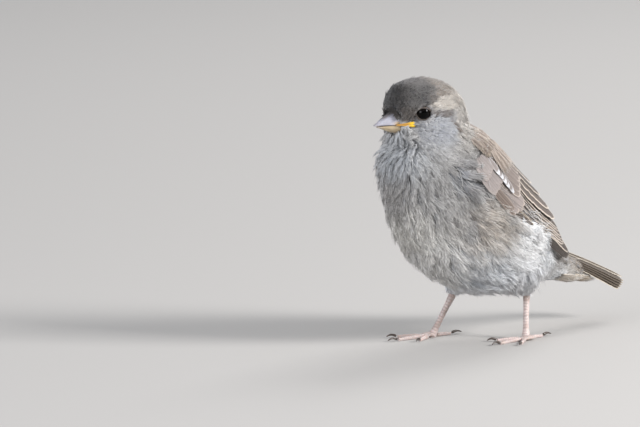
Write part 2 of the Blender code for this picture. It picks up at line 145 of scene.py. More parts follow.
# The body's regions. Each has a place as shares of the whole bird's length, half width and height; the
# way its feathers lie, forward, outward and up; feather length, feather width, spacing between roots
# and depth of the coat in millimetres; how loosely its barbs hang; and its colour. A region away from
# the middle is on both sides.
REGIONS = {
    "forehead": ((0.902, 0.0, 0.925), (-0.6, 0.0, 0.8), 3.0, 1.5, 0.65, 0.8, 0.5, "#5d5955"),
    "crown": ((0.797, 0.0, 0.994), (-1.0, 0.0, -0.1), 4.8, 2.1, 0.82, 1.0, 0.7, "#6b6660"),
    "face": ((0.886, 0.32, 0.835), (-0.9, 0.2, -0.2), 2.7, 1.3, 0.66, 0.8, 0.5, "#9a9794"),
    "cheek": ((0.805, 0.48, 0.815), (-0.9, 0.1, -0.4), 4.8, 2.0, 0.82, 1.0, 0.55, "#a6a9b0"),
    "chin": ((0.934, 0.0, 0.776), (-0.2, 0.0, -1.0), 5.0, 2.0, 0.85, 1.9, 0.6, "#d3d6da"),
    "nape": ((0.668, 0.0, 0.875), (-0.35, 0.0, -0.95), 6.2, 2.8, 1.1, 1.6, 1.5, "#bdb2a4"),
    "neck_side": ((0.773, 0.65, 0.795), (-0.6, 0.1, -0.8), 6.6, 3.0, 1.15, 1.7, 1.1, "#b4afa9"),
    "throat": ((0.918, 0.0, 0.7), (-0.15, 0.0, -1.0), 6.8, 3.4, 1.35, 1.8, 0.6, "#bdc0c4"),
    "breast_top": ((0.95, 0.0, 0.577), (-0.1, 0.0, -1.0), 8.8, 4.4, 1.75, 2.6, 0.8, "#a9a6a4"),
    "breast": ((0.918, 0.0, 0.418), (-0.35, 0.0, -0.95), 9.6, 5.0, 1.95, 2.9, 0.8, "#d3d0ca"),
    "breast_side": ((0.854, 0.69, 0.577), (-0.6, 0.25, -0.75), 9.6, 4.4, 1.7, 2.6, 0.9, "#a8a6a5"),
    "shoulder": ((0.757, 0.8, 0.656), (-0.85, 0.1, -0.5), 9.5, 4.2, 1.65, 2.3, 1.0, "#908e8e"),
    "breast_low": ((0.781, 0.0, 0.259), (-0.75, 0.0, -0.66), 10.8, 5.2, 2.0, 3.0, 0.9, "#eae8e5"),
    "belly_side": ((0.644, 0.6, 0.219), (-0.9, 0.05, -0.4), 11.0, 5.0, 1.95, 3.0, 1.0, "#cdd1d7"),
    "belly": ((0.604, 0.0, 0.164), (-1.0, 0.0, -0.05), 11.5, 5.4, 2.0, 2.6, 1.1, "#e6e8ec"),
    "flank_front": ((0.677, 0.9, 0.457), (-0.8, 0.1, -0.6), 11.5, 4.8, 1.8, 2.8, 1.2, "#b0a79e"),
    "flank": ((0.515, 0.9, 0.378), (-0.8, 0.05, -0.62), 12.0, 5.0, 1.85, 2.8, 1.2, "#fdfdfe"),
    "flank_rear": ((0.387, 0.65, 0.328), (-0.6, -0.1, -0.8), 8.0, 5.0, 1.85, 2.2, 1.2, "#dfe1e4"),
    "thigh": ((0.483, 0.6, 0.2), (-0.35, 0.1, -1.0), 6.5, 3.4, 1.5, 1.4, 1.1, "#e6e7ea"),
    # The vent is painted greyer than the white flank: partly its own grey and partly painted shade under the
    # flank's bulge.
    "vent": ((0.298, 0.0, 0.159), (-1.0, 0.0, -0.03), 8.5, 5.0, 1.9, 1.6, 1.1, "#c6c8cb"),
    "under_tail": ((0.161, 0.0, 0.15), (-0.95, 0.0, -0.2), 11.0, 5.2, 2.0, 1.0, 0.7, "#c4beb6"),
    "tail_base": ((0.15, 0.22, 0.21), (-0.95, 0.0, -0.3), 5.0, 3.0, 1.6, 0.5, 0.6, "#74685c"),
    "tail_side": ((0.25, 0.5, 0.3), (-0.9, 0.0, -0.4), 5.0, 3.2, 1.7, 0.6, 0.7, "#6f6358"),
    "rump": ((0.29, 0.0, 0.378), (-0.75, 0.0, -0.65), 7.5, 4.4, 1.9, 1.0, 0.8, "#8f8275"),
    "back_low": ((0.38, 0.0, 0.49), (-0.75, 0.0, -0.65), 8.8, 4.4, 1.9, 1.5, 0.7, "#998b7d"),
    "back": ((0.467, 0.0, 0.616), (-0.7, 0.0, -0.7), 8.8, 4.4, 1.8, 1.8, 0.7, "#a79c95"),
    "mantle": ((0.596, 0.0, 0.766), (-0.6, 0.0, -0.8), 8.6, 4.4, 1.7, 1.9, 0.7, "#ada3a1"),
}
# The pieces of the coat, and the regions that each takes in.
COAT_PIECES = {
    "coat_crown": ("forehead", "crown"),
    "coat_face": ("face", "chin"),
    "coat_cheeks": ("cheek",),
    "coat_nape": ("nape",),
    "coat_neck": ("neck_side",),
    "coat_throat": ("throat",),
    "coat_breast": ("breast_top", "breast", "breast_low"),
    "coat_breast_sides": ("breast_side",),
    "coat_shoulders": ("shoulder",),
    "coat_belly": ("belly_side", "belly"),
    "coat_flanks": ("flank_front", "flank"),
    "coat_rear_flanks": ("flank_rear",),
    "coat_thighs": ("thigh",),
    "coat_vent": ("vent", "under_tail"),
    "coat_mantle": ("back", "mantle"),
    "coat_rump": ("rump", "back_low", "tail_side", "tail_base"),
}
# Cross-sections of the trunk from under the tail to the throat: the middle of the back and the middle of
# the belly as shares of the bird's length and height, and the half width as a share of its width.
TRUNK_SECTIONS = (
    (0.0966, 0.2038, 0.0885, 0.1560, 0.0480),
    (0.1973, 0.2834, 0.1973, 0.1680, 0.0900),
    (0.2778, 0.3629, 0.2980, 0.1810, 0.2218),
    (0.3704, 0.4872, 0.4268, 0.1800, 0.3428),
    (0.4751, 0.6115, 0.6040, 0.1641, 0.4436),
    (0.5637, 0.7258, 0.7812, 0.2585, 0.4698),
    (0.6282, 0.8004, 0.9101, 0.4226, 0.4436),
    (0.6886, 0.8402, 0.9503, 0.5966, 0.3489),
    (0.7168, 0.9148, 0.9503, 0.7408, 0.3327),
)


def blended(values, at):
    """A smooth curve through evenly spaced rows of values, read at places counted in their index."""
    last = len(values) - 1
    at = np.clip(at, 0.0, last)
    i = np.minimum(at.astype(int), last - 1)
    f = (at - i)[..., None]
    a, b, c, d = (values[np.clip(i + k, 0, last)] for k in (-1, 0, 1, 2))
    cubic = (3 * b - a - 3 * c + d) * f**3
    return 0.5 * (2 * b + (c - a) * f + (2 * a - 5 * b + 4 * c - d) * f**2 + cubic)


def trunk_surface(at, angle, lift, side):
    """Points on the trunk at sections counted from the rear, at angles in degrees from the middle of the
    back down the given side, standing off it by a lift in millimetres."""
    shares = blended(np.array(TRUNK_SECTIONS), np.asarray(at, float))
    back = np.stack((LOW[0] + SPAN[0] * shares[..., 0], LOW[2] + SPAN[2] * shares[..., 1]), -1)
    belly = np.stack((LOW[0] + SPAN[0] * shares[..., 2], LOW[2] + SPAN[2] * shares[..., 3]), -1)
    width = SPAN[1] * shares[..., 4] + lift * MM
    middle, run = (back + belly) / 2, back - belly
    depth = np.linalg.norm(run, axis=-1) / 2
    turn = np.radians(angle)
    rise = run / (2 * depth[..., None]) * ((depth + lift * MM) * np.cos(turn))[..., None]
    along, height = np.moveaxis(middle + rise, -1, 0)
    return np.stack((along, side * width * np.sin(turn), height), -1)


def trunk_route(base, tip, lifts, side, stations):
    """A path over the trunk from base to tip, each a section and an angle. Gives points and normals."""
    share = np.linspace(0.0, 1.0, stations)
    at = base[0] + (tip[0] - base[0]) * share
    angle = base[1] + (tip[1] - base[1]) * share
    lift = lifts[0] + (lifts[1] - lifts[0]) * share
    points = trunk_surface(at, angle, lift, side)
    ahead = trunk_surface(at + 0.02, angle, lift, side) - points
    down = trunk_surface(at, angle + 1.0, lift, side) - points
    return points, unit(np.cross(ahead, down)) * side


def region_table():
    """The regions as arrays, with those away from the middle mirrored."""
    names, places, values = [], [], []
    for name, (place, lie, *sizes, colour) in REGIONS.items():
        for side in (1.0, -1.0) if place[1] else (1.0,):
            names.append(name)
            share = np.array((place[0], 0.5 + side * place[1] / 2, place[2]))
            places.append(LOW + SPAN * share)
            values.append((lie[0], side * lie[1], lie[2], *sizes, *linear(colour)))
    return names, np.array(places), np.array(values)


REGION_NAMES, REGION_PLACES, REGION_VALUES = region_table()


def read_regions(points):
    """Lie, sizes and colour at each point, blended between the regions, and the nearest one's name."""
    apart = ((points[:, None, :] - REGION_PLACES[None]) ** 2).sum(2)
    weights = 1.0 / (apart + (3.0 * MM) ** 2) ** 2.2
    weights /= weights.sum(1, keepdims=True)
    blended = weights @ REGION_VALUES
    nearest = [REGION_NAMES[i] for i in apart.argmin(1)]
    keys = ("length", "width", "spacing", "depth", "loose")
    sizes = {key: blended[:, 3 + i] for i, key in enumerate(keys)}
    return blended[:, :3], sizes, blended[:, 8:11], np.array(nearest)


def head_place(points):
    """Points in the head's own frame, in millimetres: forward, left and up from its middle."""
    return (points - HEAD_MIDDLE) @ HEAD_AXES.T / MM


def from_head(local):
    """Points given in the head's own frame, in millimetres, put back on the bird."""
    return HEAD_MIDDLE + local @ HEAD_AXES * MM


def on_head(points):
    """1 on the head, falling to 0 on the neck."""
    return fall(15.0, 21.0, np.linalg.norm(head_place(points), axis=1))


def ripple(points, size, seed):
    """Smooth noise of about -1 to 1, its bumps of the given size in millimetres."""
    rng = np.random.default_rng(seed)
    waves = unit(rng.normal(size=(9, 3))) * rng.uniform(0.6, 1.5, (9, 1)) * math.pi / (size * MM)
    return np.sin(points @ waves.T + rng.uniform(0, 2 * math.pi, 9)).sum(1) / 3.2


def eye_axis(side):
    """The way an eye looks."""
    return unit(np.array((0.48, SIDES[side], -0.26)) @ HEAD_AXES)


def from_eye(points, side):
    """How far each point lies out along the way an eye looks, and the vector to it across that way."""
    axis = eye_axis(side)
    away = points - EYES[side]
    out = dot(away, axis)
    return out, away - out[:, None] * axis


EYE_STONE = 3.3  # millimetres from an eye's middle within which feathers bend round it


def flow(points, normals):
    """The way the feathers lie at each point of the skin, as unit vectors along it."""
    lie, _, _, _ = read_regions(points)
    from_bill = unit(points - BILL_BASE) - HEAD_FORWARD * 0.35 - UP * 0.1
    # Down the back of the head they lie towards the neck.
    from_bill -= UP * 1.6 * smooth(0.0, 11.0, -head_place(points)[:, :1])
    lie = mix(unit(lie), unit(from_bill), on_head(points))
    for side in SIDES:
        # Round each eye the feathers part as a stream does round a stone.
        across = from_eye(points, side)[1]
        reach = np.linalg.norm(across, axis=1)
        out = unit(across)
        near = (EYE_STONE * MM / np.maximum(reach, EYE_STONE * MM)) ** 2
        near *= dot(points - HEAD_MIDDLE, eye_axis(side)) > 0
        lie = lie - near[:, None] * (2 * dot(lie, out)[:, None] * out - lie)
    lie -= dot(lie, normals)[:, None] * normals
    # Neighbouring feathers lean together into loose clumps, least on the head and throat.
    lean = 0.3 * ripple(points, 6.0, 21) + 0.15 * ripple(points, 2.5, 22)
    lean *= 1 - 0.75 * on_head(points + UP * 6.0 * MM)
    return unit(unit(lie) + np.cross(normals, unit(lie)) * lean[:, None])


# --- Markings ------------------------------------------------------------------------------------

MARKS = palette(
    cap_front="#353231",
    cap_fleck="#858180",
    cap_back="#82786f",
    brow="#b8b0a7",
    eye_stripe="#544a44",
    lore="#57504b",
    ear="#9c9ea4",
    crescent="#635850",
    nape="#cbc4bc",
    parting="#6f7781",
    eye_ring="#a19d9c",
)


def band(value, middle, half, soft):
    """1 within a half width of a middle, falling to 0 over a soft edge."""
    return fall(half, half + soft, np.abs(value - middle))


# The height of the dark cap's lower edge by distance forward, in the head's frame.
CAP_EDGE = ((-8.0, 8.6), (-5.0, 7.6), (-2.0, 6.7), (1.0, 6.1), (3.5, 5.3), (5.0, 4.2), (6.5, 2.8))


def markings(points):
    """The colour of the plumage at each point."""
    _, _, colour, _ = read_regions(points)
    colour = colour * (1 + 0.06 * ripple(points, 7.0, 11)[:, None])
    forward, left, up = head_place(points).T
    out, wave, head = np.abs(left), ripple(points, 2.2, 12), on_head(points)
    side = smooth(4.5, 7.0, out) * head
    # A dark slate cap in front turns to warm grey at the back of the crown.
    cap_floor = np.interp(forward, *zip(*CAP_EDGE))
    cap = smooth(cap_floor, cap_floor + 1.2, up + 0.5 * wave) * head
    cap = np.maximum(cap, smooth(8.5, 10.5, forward) * smooth(-0.5, 1.5, up) * head)
    front_end = 5.0 - 0.35 * (np.clip(up, 5.0, 14.0) - 6.0)
    front = smooth(front_end - 3.0, front_end + 1.6, forward + 0.9 * wave)
    cap_colour = mix(MARKS["cap_back"], MARKS["cap_front"], front)
    fleck = 0.4 * smooth(0.2, 1.0, ripple(points, 2.2, 13)) * (1 - 0.75 * smooth(3.0, 8.0, forward))
    cap_colour = mix(cap_colour, MARKS["cap_fleck"], fleck)
    # The side of the neck is cream, and runs up into the brow behind the eye.
    behind = fall(-6.0, -2.8, forward) * head * (1 - cap) * side
    colour = mix(colour, MARKS["nape"], 0.8 * behind)
    brow = side * (1 - cap) * smooth(1.9, 3.0, up + 0.4 * wave) * fall(4.4, 6.0, forward)
    colour = mix(colour, MARKS["brow"], brow)
    ear = side * smooth(-4.2, -1.8, forward + 0.5 * wave) * fall(9.5, 12.0, forward)
    ear = ear * smooth(-13.0, -9.0, up) * fall(0.3, 1.6, up)
    colour = mix(colour, MARKS["ear"], 0.85 * ear)
    # The top of the crown is painted paler: painted light falling on it from above.
    cap_colour = mix(cap_colour, MARKS["cap_fleck"], 0.35 * smooth(9.5, 12.5, up))
    colour = mix(colour, cap_colour, cap)
    thick = 0.35 + 0.6 * fall(-0.5, 2.5, forward)
    stripe = side * fall(thick, thick + 0.7, np.abs(up - 1.1 - 0.13 * forward + 0.25 * wave))
    stripe = stripe * fall(4.6, 5.8, forward) * smooth(-4.4, -2.8, forward)
    colour = mix(colour, MARKS["eye_stripe"], 0.85 * stripe)
    crescent = side * band(forward - 0.6 * up + 0.5 * wave, -1.8, 0.8, 1.4) * band(up, -4.3, 1.6, 2.0)
    colour = mix(colour, MARKS["crescent"], 0.95 * crescent)
    dapple = smooth(0.1, 1.1, ripple(points, 2.6, 14)) * fall(-6.5, -4.5, forward) * (1 - cap)
    colour = mix(colour, MARKS["crescent"], 0.4 * dapple * on_head(points + HEAD_FORWARD * 3.0 * MM))
    lore = smooth(3.0, 5.0, out) * smooth(8.2, 10.0, forward) * head * band(up, 0.8, 1.8, 1.8)
    colour = mix(colour, MARKS["lore"], 0.85 * lore)
    # Pale streaks through the brow, and a grey ring of tiny feathers round the eye.
    pale = smooth(0.3, 1.2, ripple(points, 2.4, 16)) * brow * (1 - cap)
    colour = mix(colour, MARKS["nape"] * 1.12, 0.5 * pale)
    for eye in SIDES:
        out, across = from_eye(points, eye)
        ring = band(np.linalg.norm(across, axis=1) / MM, 3.4, 0.3, 0.4) * (out > -2.0 * MM)
        colour = mix(colour, MARKS["eye_ring"], ring * (0.25 + 0.55 * fall(4.5, 8.5, forward)))
    # Down the sides slate patches are painted where the feathers part: partly the coat's own grey base and
    # partly painted shade in the gaps between clumps.
    length, across, height = ((points - LOW) / SPAN).T
    flank = smooth(0.1, 0.2, np.abs(across - 0.5)) * smooth(0.4, 0.5, length) * fall(0.62, 0.72, height)
    parting = smooth(0.45, 1.1, ripple(points, 4.5, 15)) * flank * (1 - head)
    colour = mix(colour, MARKS["parting"], 0.42 * parting)
    return np.clip(colour, 0.0, 1.0)


# --- Materials -----------------------------------------------------------------------------------


def add_node(tree, kind, links=(), **settings):
    """Adds a node with its settings, where _ stands for a space in an input's name, and links given
    outputs to its inputs by name or number."""
    node = tree.nodes.new(kind)
    for name, value in settings.items():
        label = name.replace("_", " ")
        if label in node.inputs:
            node.inputs[label].default_value = value
        else:
            setattr(node, name, value)
    for target, source in dict(links).items():
        tree.links.new(source, node.inputs[target])
    return node


def new_material(name, **sockets):
    """A material with one Principled BSDF whose sockets hold the given values."""
    made = bpy.data.materials.new(name)
    made.use_nodes = True
    tree = made.node_tree
    shader = tree.nodes["Principled BSDF"]
    for socket, value in sockets.items():
        shader.inputs[socket.replace("_", " ")].default_value = value
    return made, tree, shader


def surface(tree, shader, attribute, pattern=None, tones=None, strength=0.0, depth=0.0):
    """Colours a surface as its mesh is painted. A pattern shades that colour between two tones, and
    stands out in relief by a depth in millimetres. Gives the painted colour."""
    painted = add_node(tree, "ShaderNodeAttribute", attribute_name=attribute).outputs["Color"]
    shown = painted
    if tones:
        shade = add_node(tree, "ShaderNodeMapRange", {"Value": pattern}, To_Min=tones[0], To_Max=tones[1])
        both = {6: painted, 7: shade.outputs[0]}
        tint = add_node(tree, "ShaderNodeMix", both, data_type="RGBA", blend_type="MULTIPLY", Factor=1.0)
        shown = tint.outputs[2]
    tree.links.new(shown, shader.inputs["Base Color"])
    if pattern:
        relief = add_node(tree, "ShaderNodeBump", {"Height": pattern}, Strength=strength, Distance=depth * MM)
        tree.links.new(relief.outputs[0], shader.inputs["Normal"])
    return painted


@functools.cache
def down_material():
    """Contour feathers: keratin barbs that hang half unhooked. They scatter light softly, with no
    gloss and a faint pale sheen along their edges."""
    made, tree, shader = new_material(
        "feather_keratin_loose_barbs",
        Roughness=0.8,
        Specular_IOR_Level=0.2,
        Subsurface_Radius=(1.0, 0.95, 0.9),
        Subsurface_Scale=1.2 * MM,
        Sheen_Weight=0.25,
        Sheen_Roughness=0.5,
    )
    painted = surface(tree, shader, "plumage")
    # White barbs let light through, and dark pigment stops it.
    pale = add_node(tree, "ShaderNodeMapRange", {"Value": painted}, From_Min=0.15, From_Max=0.7, To_Max=0.45)
    tree.links.new(pale.outputs[0], shader.inputs["Subsurface Weight"])
    return made


@functools.cache
def vane_material():
    """Flight feathers: keratin barbs hooked into a smooth vane. The barbs show as fine slanting lines
    either side of the shaft, and give a silky, slightly directional shine."""
    made, tree, shader = new_material(
        "feather_keratin_hooked_vane", Roughness=0.55, Specular_IOR_Level=0.35, Sheen_Weight=0.15
    )
    place = add_node(tree, "ShaderNodeUVMap", uv_map="Vane")
    parts = add_node(tree, "ShaderNodeSeparateXYZ", {0: place.outputs["UV"]})
    out = add_node(tree, "ShaderNodeMath", {0: parts.outputs["X"]}, operation="ABSOLUTE")
    lean = {0: out.outputs[0], 2: parts.outputs["Y"]}
    slant = add_node(tree, "ShaderNodeMath", lean, operation="MULTIPLY_ADD")
    slant.inputs[1].default_value = -1.1
    across = add_node(tree, "ShaderNodeCombineXYZ", {"X": slant.outputs[0], "Y": out.outputs[0]})
    # Real barbs lie about 0.15 mm apart, too fine to show, so they are drawn 0.3 mm apart. A wave texture
    # at a scale of 1 repeats 20 times in 2 pi.
    scale = 2 * math.pi / 20 / (0.3 * MM)
    rough = {"Distortion": 1.2, "Detail": 2.0, "Detail_Scale": 2.0}
    barbs = add_node(tree, "ShaderNodeTexWave", {"Vector": across.outputs[0]}, Scale=scale, **rough)
    surface(tree, shader, "plumage", barbs.outputs["Fac"], (0.86, 1.08), 0.4, 0.04)
    return made


@functools.cache
def skin_material():
    """Bird skin under the coat: thin, matt and finely pimpled where the quills sit, and coloured as the
    feathers over it are, a little darker as painted shade."""
    made, tree, shader = new_material("bird_skin_quilled", Roughness=0.9)
    place = add_node(tree, "ShaderNodeTexCoord").outputs["Object"]
    # Quills sit about 1.5 mm apart.
    quills = add_node(tree, "ShaderNodeTexVoronoi", {"Vector": place}, Scale=1 / (1.5 * MM))
    surface(tree, shader, "plumage", quills.outputs["Distance"], strength=0.6, depth=0.2)
    return made


@functools.cache
def horn_material():
    """Bill and claws: keratin grown over bone. Smooth and slightly waxy, with fine growth lines, so it
    holds a soft highlight and lets a little light into its edges."""
    made, tree, shader = new_material(
        "horn_grown_bill",
        Roughness=0.42,
        Subsurface_Weight=0.12,
        Subsurface_Radius=(0.6, 0.4, 0.3),
        Subsurface_Scale=1.0 * MM,
        Coat_Weight=0.15,
        Coat_Roughness=0.3,
    )
    place = add_node(tree, "ShaderNodeTexCoord").outputs["Object"]
    # Growth lines about 0.5 mm apart, drawn out along the bill.
    stretch = add_node(tree, "ShaderNodeMapping", {"Vector": place}, Scale=(0.2, 1.0, 1.0))
    scale = 1 / (0.5 * MM)
    lines = add_node(tree, "ShaderNodeTexNoise", {"Vector": stretch.outputs[0]}, Scale=scale, Detail=3.0)
    surface(tree, shader, "horn", lines.outputs["Fac"], (0.8, 1.2), 0.3, 0.08)
    return made


@functools.cache
def cornea_material():
    """Eye: a clear wet cornea over a very dark brown iris, so it is nearly black with one crisp
    highlight."""
    made, tree, shader = new_material(
        "cornea_over_dark_iris", Roughness=0.04, IOR=1.38, Specular_IOR_Level=0.14
    )
    surface(tree, shader, "iris")
    return made


@functools.cache
def soft_skin_material():
    """Bare skin at the bill's corner and the eye's rim: soft, slightly moist and finely creased."""
    made, tree, shader = new_material(
        "bare_skin_soft",
        Roughness=0.5,
        Subsurface_Weight=0.25,
        Subsurface_Radius=(1.0, 0.5, 0.2),
        Subsurface_Scale=0.6 * MM,
    )
    place = add_node(tree, "ShaderNodeTexCoord").outputs["Object"]
    # Creases about 0.3 mm apart.
    crease = add_node(tree, "ShaderNodeTexNoise", {"Vector": place}, Scale=1 / (0.3 * MM), Detail=4.0)
    surface(tree, shader, "tone", crease.outputs["Fac"], strength=0.35, depth=0.08)
    return made


@functools.cache
def scute_material():
    """Shanks and toes: horny scutes over thin flesh. Dry and satin, darker in the joints between the
    plates, with a fine grain."""
    made, tree, shader = new_material(
        "scaled_leg_skin",
        Roughness=0.55,
        Subsurface_Weight=0.15,
        Subsurface_Radius=(1.0, 0.45, 0.3),
        Subsurface_Scale=0.6 * MM,
    )
    place = add_node(tree, "ShaderNodeTexCoord").outputs["Object"]
    # Small scales about 0.45 mm across.
    cells = add_node(tree, "ShaderNodeTexVoronoi", {"Vector": place}, Scale=1 / (0.45 * MM))
    surface(tree, shader, "tone", cells.outputs["Distance"], (1.08, 0.78), 0.4, -0.08)
    return made


# --- Meshes and pieces ---------------------------------------------------------------------------


def place_object(name, data):
    """Puts an object in the scene."""
    obj = bpy.data.objects.new(name, data)
    bpy.context.scene.collection.objects.link(obj)
    return obj


def new_piece(name, mesh, material, replaced=()):
    """A piece with its material, which rides on the body in place of nodes."""
    obj = place_object(name, mesh)
    mesh.materials.clear()
    mesh.materials.append(material)
    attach(obj, "root")
    if replaced:
        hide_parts(*replaced)
    return obj


def paint(mesh, name, colours):
    """Stores a linear colour for each vertex."""
    layer = mesh.color_attributes.new(name, "FLOAT_COLOR", "POINT")
    four = np.ones((len(mesh.vertices), 4), np.float32)
    four[:, :3] = colours
    layer.data.foreach_set("color", four.ravel())


def mesh_from_arrays(name, points, triangles, colours, maps):
    """One mesh of many small closed forms. maps holds UV maps by name, a pair for each corner."""
    mesh = bpy.data.meshes.new(name)
    mesh.vertices.add(len(points))
    mesh.vertices.foreach_set("co", points.astype(np.float32).ravel())
    mesh.loops.add(triangles.size)
    mesh.loops.foreach_set("vertex_index", triangles.astype(np.int32).ravel())
    mesh.polygons.add(len(triangles))
    mesh.polygons.foreach_set("loop_start", np.arange(0, triangles.size, 3, dtype=np.int32))
    mesh.update(calc_edges=True)
    for map_name, corners in maps.items():
        layer = mesh.uv_layers.new(name=map_name)
        layer.data.foreach_set("uv", corners.astype(np.float32).ravel())
    paint(mesh, "plumage", colours)
    mesh.shade_smooth()
    return mesh


def vertex_array(mesh, what="co"):
    """Where a mesh's vertices are, or their normals."""
    values = np.zeros(len(mesh.vertices) * 3, np.float32)
    mesh.vertices.foreach_get(what, values)
    return values.reshape(-1, 3).astype(float)


def move_vertices(mesh, points):
    """Puts a mesh's vertices at given points."""
    mesh.vertices.foreach_set("co", points.astype(np.float32).ravel())
    mesh.update()


def as_mesh(bm, name):
    """Ends a bmesh as a mesh."""
    mesh = bpy.data.meshes.new(name)
    bm.to_mesh(mesh)
    bm.free()
    return mesh


def face_outwards(mesh):
    """Turns a closed mesh's faces outwards."""
    bm = bmesh.new()
    bm.from_mesh(mesh)
    bmesh.ops.recalc_face_normals(bm, faces=bm.faces)
    bm.to_mesh(mesh)
    bm.free()


def uv_ball(name, columns, rows, radius):
    """A sphere about the origin."""
    bm = bmesh.new()
    bmesh.ops.create_uvsphere(bm, u_segments=columns, v_segments=rows, radius=radius)
    return as_mesh(bm, name)


def swell_out(bm, swell):
    """Moves a bmesh's vertices outwards by a distance in millimetres."""
    bm.normal_update()
    for vert in bm.verts:
        vert.co += vert.normal * swell * MM


def merged_copy(node):
    """A bmesh of a CAD node with its loose triangles joined."""
    bm = bmesh.new()
    bm.from_mesh(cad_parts[node].data)
    bmesh.ops.remove_doubles(bm, verts=bm.verts, dist=1e-6)
    return bm


def baked(mesh, modifiers):
    """A mesh after a list of modifiers, each its kind and settings."""
    obj = place_object("form", mesh)
    for kind, settings in modifiers:
        step = obj.modifiers.new(kind, kind)
        for key, value in settings.items():
            setattr(step, key, value)
    graph = bpy.context.evaluated_depsgraph_get()
    made = bpy.data.meshes.new_from_object(obj.evaluated_get(graph))
    bpy.data.objects.remove(obj)
    return made


# --- Skin ----------------------------------------------------------------------------------------

FLESH = ("trunk", "neck", "head", "thigh_left", "thigh_right")
WING_PANELS = [f"wing_{side}_{part}" for side in SIDES for part in ("coverts", "secondaries", "primaries")]
SKIN_VOXEL = 0.9  # millimetres
SKIN_OVERLAP = 0.35  # how far each form is swollen so that its neighbours join


def flesh_form():
    """All that carries coat, joined into one form that fills the rooms of the eyes, bill and wings."""
    bm = bmesh.new()
    face = ("eye_left", "eye_right", "bill_upper", "bill_lower", "gape_left", "gape_right")
    for node in (*FLESH, *WING_PANELS, *face):
        form = merged_copy(node)
        swell_out(form, SKIN_OVERLAP)
        mesh = as_mesh(form, node)
        bm.from_mesh(mesh)
        bpy.data.meshes.remove(mesh)
    remesh = {"mode": "VOXEL", "voxel_size": SKIN_VOXEL * MM}
    return baked(as_mesh(bm, "flesh"), [("REMESH", remesh), ("SMOOTH", {"factor": 0.5, "iterations": 6})])


# The face's half width at the height of the bill's corners, by distance forward, in millimetres: it
# narrows to the bill as the feathers there lie flat.
FACE_TAPER = (
    (5.5, 12.5), (7.5, 9.6), (8.8, 7.6), (10.0, 6.1), (11.5, 5.2),
    (13.0, 4.8), (15.0, 4.4), (17.0, 3.6), (19.0, 2.9),
)
# How high the skin may rise about an eye's middle, by distance from the way it looks, in millimetres.
EYE_HOLLOW = ((0.0, -1.0), (2.1, 0.2), (2.6, 1.0), (3.2, 1.7), (4.2, 2.5), (5.2, 3.2), (6.5, 9.0))


def press_face(points):
    """Narrows the face towards the bill and hollows it round the eyes."""
    local = head_place(points)
    forward, left, up = local.T
    beyond = np.clip(np.abs(up + 2.6) - 1.2, 0.0, None) ** 1.25
    taper = np.interp(forward, *zip(*FACE_TAPER)) + np.where(up < -2.6, 0.8, 0.42) * beyond
    near = smooth(5.0, 8.0, forward)
    wide = np.abs(left)
    local[:, 1] = np.sign(left) * (wide + (np.minimum(wide, taper) - wide) * near)
    points = from_head(local)
    for side in SIDES:
        out, across = from_eye(points, side)
        limit = np.interp(np.linalg.norm(across, axis=1) / MM, *zip(*EYE_HOLLOW)) * MM
        points -= eye_axis(side) * np.clip(out - limit, 0.0, 4.0 * MM)[:, None] * (out > 0)[:, None]
    return points


# The hollow between nape and mantle: its place as shares of the bird's length, width and height, and its
# breadth and depth in millimetres.
NAPE_HOLLOW, HOLLOW_REACH, HOLLOW_DEPTH = np.array((0.68, 0.5, 0.86)), 9.0, 2.4


def sink(mesh):
    """Moves the skin inwards by the coat's depth."""
    points, normals = vertex_array(mesh), vertex_array(mesh, "normal")
    _, sizes, _, _ = read_regions(points)
    points -= normals * (sizes["depth"][:, None] + SKIN_OVERLAP) * MM
    points = press_face(points)
    apart = np.linalg.norm(points - (LOW + SPAN * NAPE_HOLLOW), axis=1) / (HOLLOW_REACH * MM)
    points -= normals * (np.exp(-(apart**2)) * HOLLOW_DEPTH * MM)[:, None]
    # Behind the flanks the body is slim, and its underside rises to the tail.
    length, _, height = ((points - LOW) / SPAN).T
    points[:, 1] *= 1 - 0.38 * fall(0.28, 0.42, length)
    vent = fall(0.33, 0.44, length) * (0.5 + 0.5 * smooth(0.08, 0.22, length))
    points[:, 2] += 2.4 * MM * vent * fall(0.13, 0.32, height)
    points[:, 2] -= 2.2 * MM * fall(0.2, 0.34, length) * smooth(0.2, 0.28, height)
    move_vertices(mesh, points)


def unwrap(obj):
    """An unwrap of the skin's own shape, which the coat's roots are placed on too."""
    obj.data.uv_layers.new(name="OFBake")
    bpy.context.view_layer.objects.active = obj
    obj.select_set(True)
    bpy.ops.object.mode_set(mode="EDIT")
    bpy.ops.mesh.select_all(action="SELECT")
    bpy.ops.uv.smart_project(angle_limit=math.radians(66), island_margin=0.002)
    bpy.ops.object.mode_set(mode="OBJECT")
    obj.select_set(False)


@functools.cache
def skin_surface():
    """The skin as arrays of points, triangles and their corners on the unwrap, and a search tree."""
    mesh = bpy.data.objects["skin"].data
    mesh.calc_loop_triangles()
    count = len(mesh.loop_triangles)
    triangles, corners = np.zeros(count * 3, np.int32), np.zeros(count * 3, np.int32)
    mesh.loop_triangles.foreach_get("vertices", triangles)
    mesh.loop_triangles.foreach_get("loops", corners)
    places = np.zeros(len(mesh.loops) * 2, np.float32)
    mesh.uv_layers["OFBake"].data.foreach_get("uv", places)
    points = vertex_array(mesh)
    triangles = triangles.reshape(-1, 3)
    tree = BVHTree.FromPolygons(points.tolist(), triangles.tolist())
    return points, triangles, places.reshape(-1, 2)[corners].reshape(-1, 3, 2), tree


